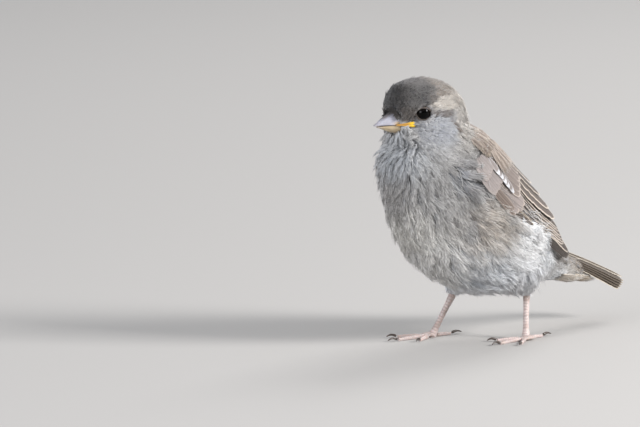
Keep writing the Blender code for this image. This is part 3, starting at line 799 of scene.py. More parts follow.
class SPARROW_OT_skin(bpy.types.Operator):
    """One skin for the head, neck, trunk and thighs, lying under the coat"""

    bl_idname = "sparrow.skin"
    bl_label = "Skin"

    def execute(self, context):
        mesh = flesh_form()
        sink(mesh)
        mesh = baked(mesh, [("SMOOTH", {"factor": 0.5, "iterations": 3})])
        mesh.name = "skin"
        mesh.shade_smooth()
        skin = new_piece("skin", mesh, skin_material(), FLESH)
        unwrap(skin)
        # The skin takes the coat's markings darkened, as painted shade where it shows between the feathers.
        paint(mesh, "plumage", markings(vertex_array(mesh)) * 0.85)
        return {"FINISHED"}


# --- Feathers of the coat ------------------------------------------------------------------------

STEPS = 4  # spans between the places that a feather's shaft is read at
TRIES = 5.0  # random places tried for each feather, of which those too close to another are dropped


def search_tree(points):
    """A tree that finds the nearest of the points."""
    tree = KDTree(len(points))
    for i, point in enumerate(points):
        tree.insert(point, i)
    tree.balance()
    return tree


def snap(points):
    """The nearest place on the skin to each point, with the skin's normal there."""
    tree = skin_surface()[3]
    places, normals = np.empty_like(points), np.empty_like(points)
    for i, point in enumerate(points):
        place, normal, _, _ = tree.find_nearest(Vector(point))
        places[i], normals[i] = place, normal
    return places, normals


def scatter(rng, density):
    """Roots spread evenly over the skin, closer together where feathers are small. Gives their
    places and their corners on the unwrap."""
    points, triangles, corners, _ = skin_surface()
    shape = points[triangles]
    area = np.linalg.norm(np.cross(shape[:, 1] - shape[:, 0], shape[:, 2] - shape[:, 0]), axis=1) / 2
    _, sizes, _, _ = read_regions(shape.mean(1))
    wanted = area / (sizes["spacing"] * MM) ** 2
    chosen = rng.choice(len(area), int(wanted.sum() * TRIES * density), p=wanted / wanted.sum())
    ends = rng.random((len(chosen), 2))
    ends = np.where(ends.sum(1, keepdims=True) > 1, 1 - ends, ends)
    shares = np.column_stack((1 - ends.sum(1), ends))[:, :, None]
    places, maps = (shape[chosen] * shares).sum(1), (corners[chosen] * shares).sum(1)
    reach = read_regions(places)[1]["spacing"] * MM / math.sqrt(density)
    tree = search_tree(places)
    free = np.ones(len(places), bool)
    kept = []
    for i in range(len(places)):
        if free[i]:
            kept.append(i)
            for _, j, _ in tree.find_range(places[i], reach[i]):
                free[j] = False
    return places[kept], maps[kept]


def shafts_along_skin(roots, lengths, turn=0.0, bend=0.0):
    """Follows the coat's lie from each root, turned from it by an angle that grows by a bend at each
    step. Gives places on the skin along each shaft, and normals."""
    place, normal = snap(roots)
    places, normals = [place], [normal]
    for step in range(STEPS):
        lie = flow(place, normal)
        angle = np.asarray(turn + bend * step).reshape(-1, 1)
        lie = lie * np.cos(angle) + np.cross(normal, lie) * np.sin(angle)
        ahead = place + lie * (lengths / STEPS)[:, None]
        place, normal = snap(ahead)
        places.append(place)
        normals.append(normal)
    return np.stack(places, 1), np.stack(normals, 1)


def along_shaft(values, share):
    """Reads values given along each shaft at shares of its length, running on past its end."""
    at = np.clip(share * STEPS, 0.0, None)
    i = np.minimum(at.astype(int), STEPS - 1)
    part = (at - i)[..., None]
    rows = np.arange(len(values)).reshape(-1, *([1] * (share.ndim - 1)))
    return values[rows, i] * (1 - part) + values[rows, i + 1] * part


# The barbs of a feather, in tufts: how many, where on the shaft they start and end, their spread at
# the tip as a share of the half width, and each one's breadth as a share of the feather's width.
FULL_FEATHER = (
    (6, (0.0, 0.08), (0.5, 0.66), 0.85, 0.24),
    (14, (0.12, 0.4), (0.6, 0.9), 1.0, 0.085),
    (20, (0.36, 0.55), (0.84, 1.1), 0.85, 0.06),
)
VANED_FEATHER = (
    (9, (0.0, 0.1), (0.55, 0.7), 0.85, 0.2),
    (15, (0.12, 0.4), (0.7, 0.88), 1.0, 0.1),
    (21, (0.4, 0.55), (0.88, 1.01), 0.9, 0.07),
)
SMALL_FEATHER = (
    (5, (0.0, 0.1), (0.6, 0.75), 0.95, 0.24),
    (16, (0.05, 0.38), (0.8, 1.1), 0.95, 0.105),
)


def barb_rows(pattern, count, rng):
    """Start, end, fan and breadth of each barb of each feather, each an array of feathers by barbs."""
    starts, ends, fans, breadths = [], [], [], []
    for number, start, end, spread, breadth in pattern:
        fan = np.linspace(-1.0, 1.0, number) + rng.normal(0, 0.35 / number, (count, number))
        side = np.abs(fan)
        round_off = np.sqrt(np.clip(1 - (0.85 * side) ** 2, 0.0, 1.0))
        starts.append(start[1] + (start[0] - start[1]) * side + rng.normal(0, 0.02, fan.shape))
        ends.append(end[0] + (end[1] - end[0]) * round_off + rng.normal(0, 0.035, fan.shape))
        fans.append(fan * spread)
        breadths.append(np.full(fan.shape, breadth) * rng.uniform(0.75, 1.25, fan.shape))
    starts, ends, fans, breadths = (np.concatenate(v, 1) for v in (starts, ends, fans, breadths))
    return np.clip(starts, 0.0, 1.0), ends, fans, breadths


BAKE_PATCH = 0.003  # breadth of one feather's patch on the unwrap
# Where along a barb its three-sided rings lie, and how thick it is at its root, at each ring and at its tip.
RINGS = {1: (0.5,), 2: (0.36, 0.72), 4: (0.2, 0.42, 0.64, 0.84)}
SWELL = {1: (0.0, 1.0, 0.0), 2: (0.0, 1.0, 0.72, 0.0), 4: (0.0, 1.0, 1.0, 0.85, 0.6, 0.0)}


def barb_faces(rings):
    """Triangles of one barb: a closed spindle of three sides between its root and its tip."""
    faces = [(0, 1 + (i + 1) % 3, 1 + i) for i in range(3)]
    for ring in range(rings - 1):
        low = 1 + 3 * ring
        for i in range(3):
            a, b = low + i, low + (i + 1) % 3
            faces += [(a, b, b + 3), (a, b + 3, a + 3)]
    last = 1 + 3 * (rings - 1)
    faces += [(last + i, last + (i + 1) % 3, last + 3) for i in range(3)]
    return np.array(faces)


def barb_colours(look, shown, rng):
    """Colours of barbs by where they lie across and along their feathers: the down at the base, a dark
    middle and a pale rim, each barb a little lighter or darker than the next."""
    along = np.clip(shown[..., 1], 0.0, 1.1)
    tone = rng.normal(1.0, look["uneven"][:, None], shown.shape[:2])[..., None, None]
    tip, base, centre, edge = (look[key][:, None, None, :] for key in ("tip", "base", "centre", "edge"))
    streak, rim = (look[key][:, None, None] for key in ("streak", "rim"))
    colours = mix(base, tip, smooth(0.3, 0.62, along))
    middle = np.exp(-((shown[..., 0] / 0.38) ** 2)) * smooth(0.2, 0.45, along)
    colours = mix(colours, centre, middle * streak * (1 - 0.75 * smooth(0.8, 1.0, along)))
    outer = np.maximum(smooth(0.55, 0.95, np.abs(shown[..., 0])), smooth(0.84, 0.99, along))
    return np.clip(mix(colours, edge, outer * rim) * tone, 0.0, 1.0)


def barbed_feathers(name, shafts, normals, look, pattern, rings, rng):
    """A mesh of feathers made of separate barbs. shafts and normals run along each one; look holds a
    row for each feather: width, height at its tip, looseness, its colours and its place on the map."""
    count = len(shafts)
    starts, ends, fans, breadths = barb_rows(pattern, count, rng)
    loose = look["loose"][:, None]
    ends = ends + rng.normal(0, 0.03, ends.shape) * loose
    wander = rng.normal(0, 0.14, fans.shape) * loose
    ruffle = np.abs(rng.normal(0, 0.12, fans.shape)) * loose * look["height"][:, None]
    stray = rng.random(fans.shape) < 0.05 * loose
    ends = np.where(stray, ends * rng.uniform(1.0, 1.15, ends.shape), ends)
    ruffle = np.where(stray, ruffle + 0.35 * look["height"][:, None] * rng.random(ruffle.shape), ruffle)
    stops = np.array((0.0, *RINGS[rings], 1.0))
    share = starts[..., None] + (ends - starts)[..., None] * stops
    half = (look["width"] / 2)[:, None, None]
    bow = stops**1.4
    offset = half * (fans[..., None] * (0.12 + 0.88 * bow) + wander[..., None] * bow**1.5)
    tangents = np.gradient(shafts, axis=1)
    sides = unit(np.cross(normals, tangents))
    spot = along_shaft(shafts, share)
    side, normal = along_shaft(sides, share), along_shaft(normals, share)
    rise = look["height"][:, None, None] * np.clip(share, 0, 1.1) ** 0.8
    rise = rise + ruffle[..., None] * stops**2 + look["lift"][:, None, None]
    curl = -0.35 * (offset / half) ** 2 * (half * 0.28)
    centre = spot + side * offset[..., None] + normal * (rise + curl)[..., None]
    breadth = (breadths * look["width"][:, None])[..., None] * SWELL[rings] / 2
    per_barb = 2 + 3 * rings
    points = np.empty((*fans.shape, per_barb, 3))
    shown = np.empty((*fans.shape, per_barb, 2))
    for vertex, stop in ((0, 0), (per_barb - 1, len(stops) - 1)):
        points[..., vertex, :] = centre[..., stop, :]
        shown[..., vertex, :] = np.stack((offset[..., stop] / half[..., 0], share[..., stop]), -1)
    for ring in range(rings):
        stop = ring + 1
        wide = breadth[..., stop, None]
        for corner, (across, thick) in enumerate(((-1.0, 0.0), (1.0, 0.0), (0.0, 0.8))):
            vertex = 1 + 3 * ring + corner
            points[..., vertex, :] = centre[..., stop, :] + side[..., stop, :] * wide * across
            points[..., vertex, :] += normal[..., stop, :] * wide * thick
            across_share = (offset[..., stop] + breadth[..., stop] * across) / half[..., 0]
            shown[..., vertex, :] = np.stack((across_share, share[..., stop]), -1)
    colours = barb_colours(look, shown, rng)
    faces = barb_faces(rings)
    barbs = count * fans.shape[1]
    triangles = (np.arange(barbs)[:, None, None] * per_barb + faces[None]).reshape(-1, 3)
    patch = look["map"][:, None, None, :] + (shown * (0.5, 1.0) - (0.0, 0.5)) * BAKE_PATCH
    maps = {"OFBake": patch.reshape(-1, 2)[triangles.ravel()]}
    return mesh_from_arrays(name, points.reshape(-1, 3), triangles, colours.reshape(-1, 3), maps)


# Feathers with a dark middle and a pale rim, by region: how strong the middle streak is and the rim.
STREAKS = {
    "mantle": (0.8, 0.5), "back": (0.6, 0.45), "back_low": (0.4, 0.4), "rump": (0.2, 0.3),
    "under_tail": (0.75, 0.7), "flank_front": (0.25, 0.35), "flank": (0.1, 0.2), "breast_top": (0.25, 0.15),
    "breast_side": (0.25, 0.3), "shoulder": (0.45, 0.4), "crown": (0.3, 0.1), "forehead": (0.25, 0.1),
    "throat": (0.2, 0.2),
}
# Regions whose feathers stand out further than the skin lies back, in millimetres.
FULLER = {
    "chin": 2.6, "throat": 1.2, "breast_top": 0.1, "breast": 0.2, "nape": 0.5, "neck_side": 0.4, "flank": 0.6
}
COAT_TONES = palette(
    down="#7b828c",
    back_down="#4d443d",
    back_middle="#443931",
    back_rim="#cdbca4",
    rim="#e9e8e6",
    wisp="#eceae6",
    tuft="#3d3835",
)
BACK_REGIONS = ("mantle", "back", "back_low", "rump")
HEAD_REGIONS = ("forehead", "crown", "face", "cheek", "chin")
SOFT_REGIONS = ("nape", "neck_side", "throat")


def coat_look(shafts, maps, sizes, names, settings, rng):
    """The rows of widths, heights and colours that the coat's feathers are made from."""
    count = len(shafts)
    tip = markings(along_shaft(shafts, np.full((count, 1), 0.72))[:, 0])
    tone = rng.normal(1.0, 0.06, (count, 1))
    tip = np.clip(tip * tone, 0, 1)
    back, head, soft = (np.isin(names, group) for group in (BACK_REGIONS, HEAD_REGIONS, SOFT_REGIONS))
    like_tip = np.select((head, soft, back), (0.85, 0.8, 0.3), 0.5)
    on_back = back[:, None]
    base = mix(np.where(on_back, COAT_TONES["back_down"], COAT_TONES["down"]), tip, like_tip)
    dark = np.where(on_back, COAT_TONES["back_middle"], tip * 0.6)
    stand = (sizes["depth"] + [FULLER.get(n, 0.0) for n in names]) * settings.fluff
    # A few feathers are ruffled, most at the back of the head.
    ruffled = rng.random(count) < np.where(np.isin(names, ("crown", "nape")), 0.16, 0.03)
    streak, rim = np.array([STREAKS.get(n, (0.1, 0.15)) for n in names]).T
    edge = np.where(on_back, COAT_TONES["back_rim"], mix(tip, COAT_TONES["rim"], 0.6 * np.ones(count)))
    return {
        "width": sizes["width"] * MM * rng.uniform(0.9, 1.15, count),
        "height": (stand * rng.uniform(0.72, 1.05, count) + 0.45 * ruffled) * MM,
        "lift": np.zeros(count),
        "loose": sizes["loose"],
        "tip": tip,
        "base": base,
        "centre": dark,
        "streak": streak,
        "edge": edge,
        "rim": rim,
        "uneven": np.where(head, 0.05, 0.08),
        "map": maps,
    }


def rows(table, chosen):
    """The chosen rows of a table of arrays."""
    return {key: value[chosen] for key, value in table.items()}


def even_look(count, **values):
    """A look in which a single number stands for every feather."""
    return {key: value if np.ndim(value) else np.full(count, value) for key, value in values.items()}


# The folded wing's edges as the coat leaves them open: angles from the middle of the back by section.
WING_UPPER = ((1.5, 90.0), (2.0, 84.0), (2.6, 66.0), (3.3, 36.0), (4.6, 22.0), (5.5, 28.0), (6.1, 45.0))
WING_LOWER = (
    (1.5, 84.0), (2.9, 86.0), (3.3, 92.0), (3.5, 86.0), (3.8, 78.0), (4.15, 76.0), (4.5, 79.0), (4.85, 84.0),
    (5.3, 88.0), (5.8, 85.0), (6.2, 72.0),
)


@functools.cache
def chart_tree():
    """A search tree over points of the trunk's left side, and each one's section and angle."""
    at, angle = (grid.ravel() for grid in np.meshgrid(np.arange(0.0, 8.01, 0.1), np.arange(0.0, 180.1, 3.0)))
    return search_tree(trunk_surface(at, angle, np.zeros(len(at)), 1.0)), at, angle


def chart_place(points):
    """The trunk section and the angle from the middle of the back nearest to each point."""
    tree, at, angle = chart_tree()
    found = [tree.find((x, abs(y), z))[1] for x, y, z in points]
    return at[found], angle[found]


def wing_edges(at):
    """The angles of the folded wing's upper and lower edges at trunk sections."""
    return (np.interp(at, *zip(*edge)) for edge in (WING_UPPER, WING_LOWER))


def under_wing(at, angle, lap):
    """Which places the folded wing covers, short of its lower edge by a lap in degrees."""
    upper, lower = wing_edges(at)
    return (at > 1.5) & (at < 6.0) & (angle > upper + 6.0) & (angle < lower - lap)


def bare(points):
    """Where no contour feather grows: under the folded wings and the tail's coverts, round the eyes and
    inside the bill."""
    at, angle = chart_place(points)
    forward, left, up = head_place(points).T
    nothing = under_wing(at, angle, 15.0) | ((at < 1.0) & (angle < 75.0))
    nothing |= (forward > 15.2) & (np.hypot(left / 4.2, (up + 2.6) / 4.2) < 1.05)
    nothing |= (forward > 10.4) & (np.abs(left) > 3.6) & (np.abs(up - COMMISSURE) < 0.6)
    for side in SIDES:
        out, across = from_eye(points, side)
        nothing |= (out > -1.0 * MM) & (np.linalg.norm(across, axis=1) < 2.75 * MM)
    return nothing


def rise_over_wing(shafts):
    """How many times higher feathers stand where they lap over the folded wing's lower edge and bend, and
    how much lower where they would cross its open middle."""
    at, angle = chart_place(shafts[:, -1])
    upper, lower = wing_edges(at)
    along = smooth(1.3, 1.6, at) * fall(5.7, 6.1, at)
    crossing = smooth(upper - 2, upper + 4, angle) * fall(lower - 9, lower - 5, angle) * along
    lapping = smooth(lower - 8, lower - 4, angle) * fall(lower + 4, lower + 12, angle) * smooth(3.3, 3.9, at)
    # Behind the flank the coat drops back, so that the flank stands out over the wing's tip.
    rear = fall(3.1, 3.6, at) * band(angle, 90.0, 22.0, 10.0)
    free = (1 - 0.8 * crossing) * (1 + 0.45 * lapping) * (1 - 0.45 * rear)
    # Those rooted under the wing stay under it.
    return np.where(under_wing(*chart_place(shafts[:, 0]), 0.0), 0.3, free)


def root_places(points):
    """The places on the unwrap of the skin under given points."""
    corners_at, triangles, maps, tree = skin_surface()
    found = []
    for point in points:
        place, _, index, _ = tree.find_nearest(Vector(point))
        ends = corners_at[triangles[index]]
        shares = np.linalg.lstsq(np.vstack((ends.T, np.ones(3) * MM)), np.append(place, MM), rcond=None)[0]
        found.append(shares @ maps[index])
    return np.array(found)


class SPARROW_OT_coat(bpy.types.Operator):
    """Contour feathers over the head and body, each made of separate barbs, in one piece a region"""

    bl_idname = "sparrow.coat"
    bl_label = "Coat"

    def execute(self, context):
        settings = context.scene.sparrow_plumage
        rng = np.random.default_rng(settings.seed)
        roots, maps = scatter(rng, settings.density)
        keep = ~bare(roots)
        roots, maps = roots[keep], maps[keep]
        _, sizes, _, names = read_regions(roots)
        lengths = sizes["length"] * MM * rng.uniform(0.85, 1.15, len(roots)) * settings.length
        shafts, normals = shafts_along_skin(roots, lengths)
        look = coat_look(shafts, maps, sizes, names, settings, rng)
        # Feathers rooted in a fold of the skin lie flat.
        fold = smooth(-0.2, 0.6, dot(normals[:, 0], normals[:, -1]))
        look["height"] = look["height"] * rise_over_wing(shafts) * (0.4 + 0.6 * fold)
        for piece, regions in COAT_PIECES.items():
            chosen = np.isin(names, regions)
            small = piece in ("coat_crown", "coat_face", "coat_cheeks")
            pattern, rings = (SMALL_FEATHER, 1) if small else (FULL_FEATHER, 2)
            own = rows(look, chosen)
            mesh = barbed_feathers(piece, shafts[chosen], normals[chosen], own, pattern, rings, rng)
            new_piece(piece, mesh, down_material())
        return {"FINISHED"}


# Wisps: single stray barbs that lie across the coat, and how many of them each region has.
WISP = ((1, (0.0, 0.0), (1.0, 1.0), 0.0, 1.0),)
WISP_REGIONS = {
    "shoulder": 240, "breast_side": 260, "breast_top": 260, "breast": 260, "flank_front": 330, "flank": 380,
    "flank_rear": 180, "belly_side": 380, "belly": 200, "breast_low": 260, "thigh": 160, "nape": 260,
    "neck_side": 160, "vent": 90, "throat": 140, "under_tail": 40, "crown": 190, "forehead": 40,
    "mantle": 140, "back": 80,
}


class SPARROW_OT_wisps(bpy.types.Operator):
    """Single stray barbs lying across the coat, which break up its outline"""

    bl_idname = "sparrow.wisps"
    bl_label = "Wisps"

    def execute(self, context):
        settings = context.scene.sparrow_plumage
        rng = np.random.default_rng(settings.seed + 1)
        roots, maps = scatter(rng, 3.2 * settings.density)
        keep = ~bare(roots) & (np.linalg.norm(roots - BILL_BASE, axis=1) > 11.0 * MM)
        roots, maps = roots[keep], maps[keep]
        _, sizes, _, names = read_regions(roots)
        chosen = []
        for region, number in WISP_REGIONS.items():
            inside = np.flatnonzero(names == region)
            chosen.append(rng.choice(inside, min(len(inside), int(number * settings.density)), replace=False))
        chosen = np.concatenate(chosen)
        roots, maps, names, sizes = roots[chosen], maps[chosen], names[chosen], rows(sizes, chosen)
        count = len(roots)
        lengths = sizes["length"] * MM * rng.uniform(0.6, 1.15, count)
        turn, bend = rng.normal(0, 0.28, count), rng.normal(0, 0.13, count)
        shafts, normals = shafts_along_skin(roots, lengths, turn, bend)
        look = coat_look(shafts, maps, sizes, names, settings, rng)
        look["width"] = rng.uniform(0.11, 0.2, count) * MM
        look["lift"] = look["height"] * rng.uniform(0.3, 0.65, count)
        look["height"] = look["height"] * rng.uniform(0.3, 0.8, count) * rise_over_wing(shafts)
        share = rng.uniform(-0.1, 0.35, count) * np.where(np.isin(names, HEAD_REGIONS), 0.5, 1.0)
        look["tip"] = look["base"] = mix(look["tip"], COAT_TONES["wisp"], share)
        look["streak"] = look["rim"] = np.zeros(count)
        mesh = barbed_feathers("coat_wisps", shafts, normals, look, WISP, 4, rng)
        new_piece("coat_wisps", mesh, down_material())
        return {"FINISHED"}


class SPARROW_OT_face_tufts(bpy.types.Operator):
    """Short stiff feathers over the bill's base and tiny ones round the eyes"""

    bl_idname = "sparrow.face_tufts"
    bl_label = "Face tufts"

    def execute(self, context):
        rng = np.random.default_rng(context.scene.sparrow_plumage.seed + 5)
        arc = np.radians(np.linspace(-62, 62, 26))
        turn = np.concatenate([arc + rng.normal(0, 0.03, 26) for _ in range(3)])
        ring = np.repeat((0.0, -1.0, -2.0), 26)
        local = np.stack((15.6 + ring, 3.9 * np.sin(turn), -2.3 + (4.6 - 0.25 * ring) * np.cos(turn)), -1)
        roots, _ = snap(from_head(local))
        # They run forward and down, along the ridge of the bill.
        heading = unit(HEAD_FORWARD + UP * -0.45 + HEAD_LEFT * rng.normal(0, 0.12, (len(roots), 1)))
        steps = np.linspace(0, 1, STEPS + 1)[:, None]
        length = (rng.uniform(1.1, 2.0, len(roots)) * MM)[:, None, None]
        shafts = roots[:, None] + heading[:, None] * length * steps
        outward = unit(roots - from_head(np.array((14.0, 0.0, -2.6))))
        self.tufts("coat_nasal_tufts", shafts, np.repeat(outward[:, None], STEPS + 1, 1), 0.5, 0.4, 1.1, rng)
        for side in SIDES:
            forward, above, axis = eye_axes(side)
            turn = np.tile(np.linspace(0, 2 * math.pi, 44, endpoint=False), 3) + rng.normal(0, 0.05, 132)
            reach = np.repeat((1.0, 1.1, 1.24), 44)[:, None]
            place = np.outer(np.cos(turn) * 2.85, forward) + np.outer(np.sin(turn) * 2.4, above)
            roots, _ = snap(EYES[side] + (place * reach + axis * 1.5) * MM)
            shafts, normals = shafts_along_skin(roots, rng.uniform(1.1, 1.7, len(roots)) * MM)
            self.tufts("coat_lid_tufts_" + side, shafts, normals, 0.25, 0.15, 0.75, rng)
        return {"FINISHED"}

    def tufts(self, name, shafts, normals, dark, lift, width, rng):
        """One piece of small feathers of the colour round them, darkened by a share."""
        count = len(shafts)
        shade = rng.uniform(0.5 * dark, 1.5 * dark, count)
        tone = mix(markings(shafts[:, 0]), COAT_TONES["tuft"], shade)
        width = rng.uniform(0.85, 1.15, count) * width * MM
        colours = {"tip": tone, "base": tone, "edge": tone, "centre": tone * 0.6, "streak": 0.3, "rim": 0.0}
        form = {"width": width, "height": 0.15 * MM, "lift": lift * MM, "loose": 0.6, "uneven": 0.06}
        look = even_look(count, map=root_places(shafts[:, 0]), **form, **colours)
        mesh = barbed_feathers(name, shafts, normals, look, SMALL_FEATHER, 1, rng)
        new_piece(name, mesh, down_material())


# --- Scapulars and under-tail coverts ------------------------------------------------------------

# Rows of soft feathers laid over the trunk. Each: how many, the first one's base and tip, the last one's
# base and tip (trunk section and angle from the middle of the back), lift of base and tip, width, colour
# of the middle, the web and the rim.
SCAPULARS = (
    (9, (5.6, 5), (4.25, 6), (6.3, 52), (5.5, 62), (-0.3, 0.6), 6.0, "#5a4f47", "#9a8d83", "#c4b6a6"),
    (6, (5.5, 22), (4.4, 25), (6.1, 50), (5.2, 59), (0.3, 1.5), 5.4, "#645950", "#a4978d", "#cbbeb0"),
    (9, (5.95, 4), (4.75, 6), (6.55, 52), (5.95, 60), (-0.3, 0.6), 5.6, "#574c44", "#9c8f85", "#c9bba8"),
    (8, (6.35, 4), (5.3, 7), (6.8, 50), (6.3, 58), (-0.9, 0.4), 5.2, "#5d524a", "#a3978e", "#cdc1b1"),
    (7, (6.7, 4), (5.8, 8), (7.0, 48), (6.65, 54), (-1.6, -0.2), 4.8, "#665b53", "#a99e95", "#cfc5b7"),
)
UNDER_TAIL_COVERTS = (
    (5, (1.5, 140), (0.15, 136), (1.5, 175), (0.35, 170), (-1.1, 0.1), 3.2, "#85735f", "#ad9c88", "#ebe4d9"),
    (4, (1.9, 138), (0.75, 133), (1.9, 173), (0.95, 167), (-1.0, 0.3), 3.6, "#9c8d7c", "#c9bfb3", "#f0ece6"),
)
SOFT_ROWS = {"scapulars": SCAPULARS, "under_tail_coverts": UNDER_TAIL_COVERTS}


def ends_in_row(base, tip, last_base, last_tip, share, uneven, rng):
    """The base and tip of a feather at a share of the way along a row, placed a little unevenly."""
    spans = ((base, last_base), (tip, last_tip))
    return [np.array(a) + (np.array(b) - a) * share + rng.normal(0, uneven, 2) for a, b in spans]


class SPARROW_OT_soft_rows(bpy.types.Operator):
    """Scapulars over the shoulders and coverts under the tail, laid in rows"""

    bl_idname = "sparrow.soft_rows"
    bl_label = "Scapulars and under-tail coverts"

    def execute(self, context):
        rng = np.random.default_rng(context.scene.sparrow_plumage.seed + 2)
        for piece, soft_rows in SOFT_ROWS.items():
            shafts, normals, width, colours = [], [], [], []
            for count, base, tip, last_base, last_tip, lifts, wide, *codes in soft_rows:
                for side in SIDES.values():
                    for share in np.linspace(0, 1, count):
                        ends = ends_in_row(base, tip, last_base, last_tip, share, (0.04, 0.8), rng)
                        lift = np.array(lifts) + rng.normal(0, 0.1)
                        points, turned = trunk_route(*ends, lift, side, STEPS + 1)
                        shafts.append(points)
                        normals.append(turned)
                        width.append(wide * MM * rng.uniform(0.9, 1.1))
                        colours.append([linear(code) for code in codes])
            shafts, normals, width, colours = (np.array(v) for v in (shafts, normals, width, colours))
            count = len(shafts)
            colours = colours * rng.normal(1.0, 0.05, (count, 1, 1))
            dark, web, rim = np.moveaxis(colours, 1, 0)
            colours = {"tip": web, "base": web * 0.8, "edge": rim, "centre": dark, "streak": 0.85, "rim": 0.8}
            form = {"width": width, "height": 0.35 * MM, "lift": 0.0, "loose": 0.7, "uneven": 0.08}
            look = even_look(count, map=root_places(shafts[:, 0]), **form, **colours)
            mesh = barbed_feathers(piece, shafts, normals, look, VANED_FEATHER, 2, rng)
            new_piece(piece, mesh, down_material())
        return {"FINISHED"}


# --- Flight feathers -----------------------------------------------------------------------------

STATIONS = 28  # cross-sections of each vane
ACROSS = np.array((-1.0, -0.88, -0.66, -0.36, -0.07, 0.0, 0.07, 0.36, 0.66, 0.88, 1.0))
SHAFT = np.exp(-((ACROSS / 0.05) ** 2))  # how much of the shaft shows at each place across
VANE_CURVE = 11.0  # radius in millimetres that a vane curves to across its width

# The looks of vaned feathers: colour of the web, of its fringe and of its tip, how broad the fringe and
# how long the tip are in millimetres, and how far along the vane starts to round off.
LOOKS = {
    "primary": ("#2b231f", "#5f5247", "#51463d", 0.14, 0.4, 0.6),
    "primary_edge": ("#3a302a", "#cabfb2", "#9b8e80", 0.34, 0.4, 0.66),
    "secondary": ("#463c36", "#c9bdb1", "#b9ad9f", 0.36, 0.6, 0.74),
    "tertial": ("#5b514b", "#c9bdb0", "#d5cabd", 0.55, 1.0, 0.76),
    "greater": ("#766b65", "#a79c94", "#aa9f97", 0.5, 0.8, 0.7),
    "lower_greater": ("#8a807c", "#978d88", "#a3978e", 0.5, 0.8, 0.7),
    "median": ("#827976", "#a8a4a4", "#c6c6c9", 0.4, 1.7, 0.55),
    "lesser": ("#8a817e", "#8f8682", "#948a85", 0.5, 0.6, 0.6),
    "alula": ("#675a52", "#867970", "#867970", 0.3, 0.5, 0.6),
    "primary_covert": ("#4c423b", "#a99b86", "#9a8d7b", 0.25, 0.5, 0.7),
    "rectrix": ("#4b4036", "#857867", "#b5a795", 0.14, 0.7, 0.86),
    # The middle pair on top is painted paler: partly its own paler web and partly painted light from above.
    "rectrix_middle_pale_and_lit": ("#7c7165", "#c3b8a9", "#c4b8a8", 0.4, 0.9, 0.84),
    "rectrix_outer": ("#5c5145", "#cbc0b1", "#cbbfb0", 0.3, 0.9, 0.84),
}
# Rows of vaned feathers in each folded wing, lowest first. Each: how many, the first one's base and tip,
# the last one's base and tip (trunk section and angle from the middle of the back), half width, lift of
# the first one's base and tip, how much lower the last lies, and its look.
WING_ROWS = {
    "primaries": (
        (5, (4.0, 74), (1.85, 72), (3.6, 86), (1.95, 83), 2.3, (-0.3, 0.1), 0.5, "primary"),
        (1, (4.0, 73), (2.0, 72), (4.0, 73), (2.0, 72), 2.3, (-0.2, 0.5), 0.2, "primary_edge"),
        (4, (5.0, 79), (3.95, 79), (4.9, 84), (3.8, 84), 1.6, (0.0, 0.4), 0.3, "primary_covert"),
    ),
    "secondaries": (
        (6, (4.75, 55), (2.7, 54), (4.45, 75), (2.3, 68), 2.5, (0.0, 0.7), 0.5, "secondary"),
        (4, (4.95, 27), (3.75, 30), (4.85, 51), (3.0, 54), 3.2, (0.6, 2.7), 0.5, "tertial"),
    ),
    "coverts": (
        (4, (5.35, 69), (4.4, 67), (5.45, 82), (4.6, 81), 3.0, (-0.1, 0.6), 0.35, "lower_greater"),
        (7, (5.3, 32), (4.4, 34), (5.5, 66), (4.55, 63), 2.5, (0.3, 1.2), 0.3, "greater"),
        (2, (5.6, 77), (4.8, 79), (5.55, 81), (4.65, 83), 1.2, (0.3, 1.15), 0.1, "alula"),
        (5, (5.4, 61), (4.85, 68), (5.95, 61), (5.5, 66), 1.5, (0.6, 1.2), -0.1, "median"),
        (6, (6.0, 68), (5.35, 70), (6.1, 80), (5.4, 82), 2.0, (0.35, 0.95), 0.2, "lesser"),
        (5, (6.3, 65), (5.75, 68), (6.35, 76), (5.8, 79), 2.0, (0.4, 1.05), 0.2, "lesser"),
    ),
}


def vane_grid():
    """The top, underside and rim of one vane as triangles: vertices of the top, then the underside."""
    wide, size = len(ACROSS), STATIONS * len(ACROSS)
    cells = np.meshgrid(np.arange(STATIONS - 1), np.arange(wide - 1), indexing="ij")
    station, column = (cell.ravel() for cell in cells)
    a = station * wide + column
    top = np.concatenate((np.stack((a, a + 1, a + wide + 1), 1), np.stack((a, a + wide + 1, a + wide), 1)))
    ring = [*range(wide), *(k * wide + wide - 1 for k in range(1, STATIONS))]
    ring += [*range(size - 2, size - wide - 1, -1), *(k * wide for k in range(STATIONS - 2, 0, -1))]
    ring = np.array(ring)
    after = np.roll(ring, -1)
    rim = (np.stack((after, ring, ring + size), 1), np.stack((after, ring + size, after + size), 1))
    return top, top[:, ::-1] + size, np.concatenate(rim)


def vane_colours(look, share, half, run, rng):
    """Colours of a vane's stations: its web, fringe, tip and shaft, with painted shade that darkens it
    towards its base.
    """
    *codes, fringe_width, tip_length, _ = LOOKS[look]
    web, fringe, tip = (linear(code) for code in codes)
    rimmed = fall(0.5, 1.3, (1 - np.abs(ACROSS))[None] * half / (fringe_width * MM))
    tipped = fall(0.7, 1.2, (1 - share[:, None]) * run / (tip_length * MM))
    # Each vane's tone differs at random, and is painted darker towards its base as painted shade.
    tone = rng.normal(1.0, 0.05) * (0.82 + 0.18 * share[:, None, None])
    colour = mix(mix(web, fringe, rimmed), tip, tipped)
    return mix(colour, web * 0.55, SHAFT * 0.6) * tone * rng.normal(1.0, 0.03, (*half.shape, 1))


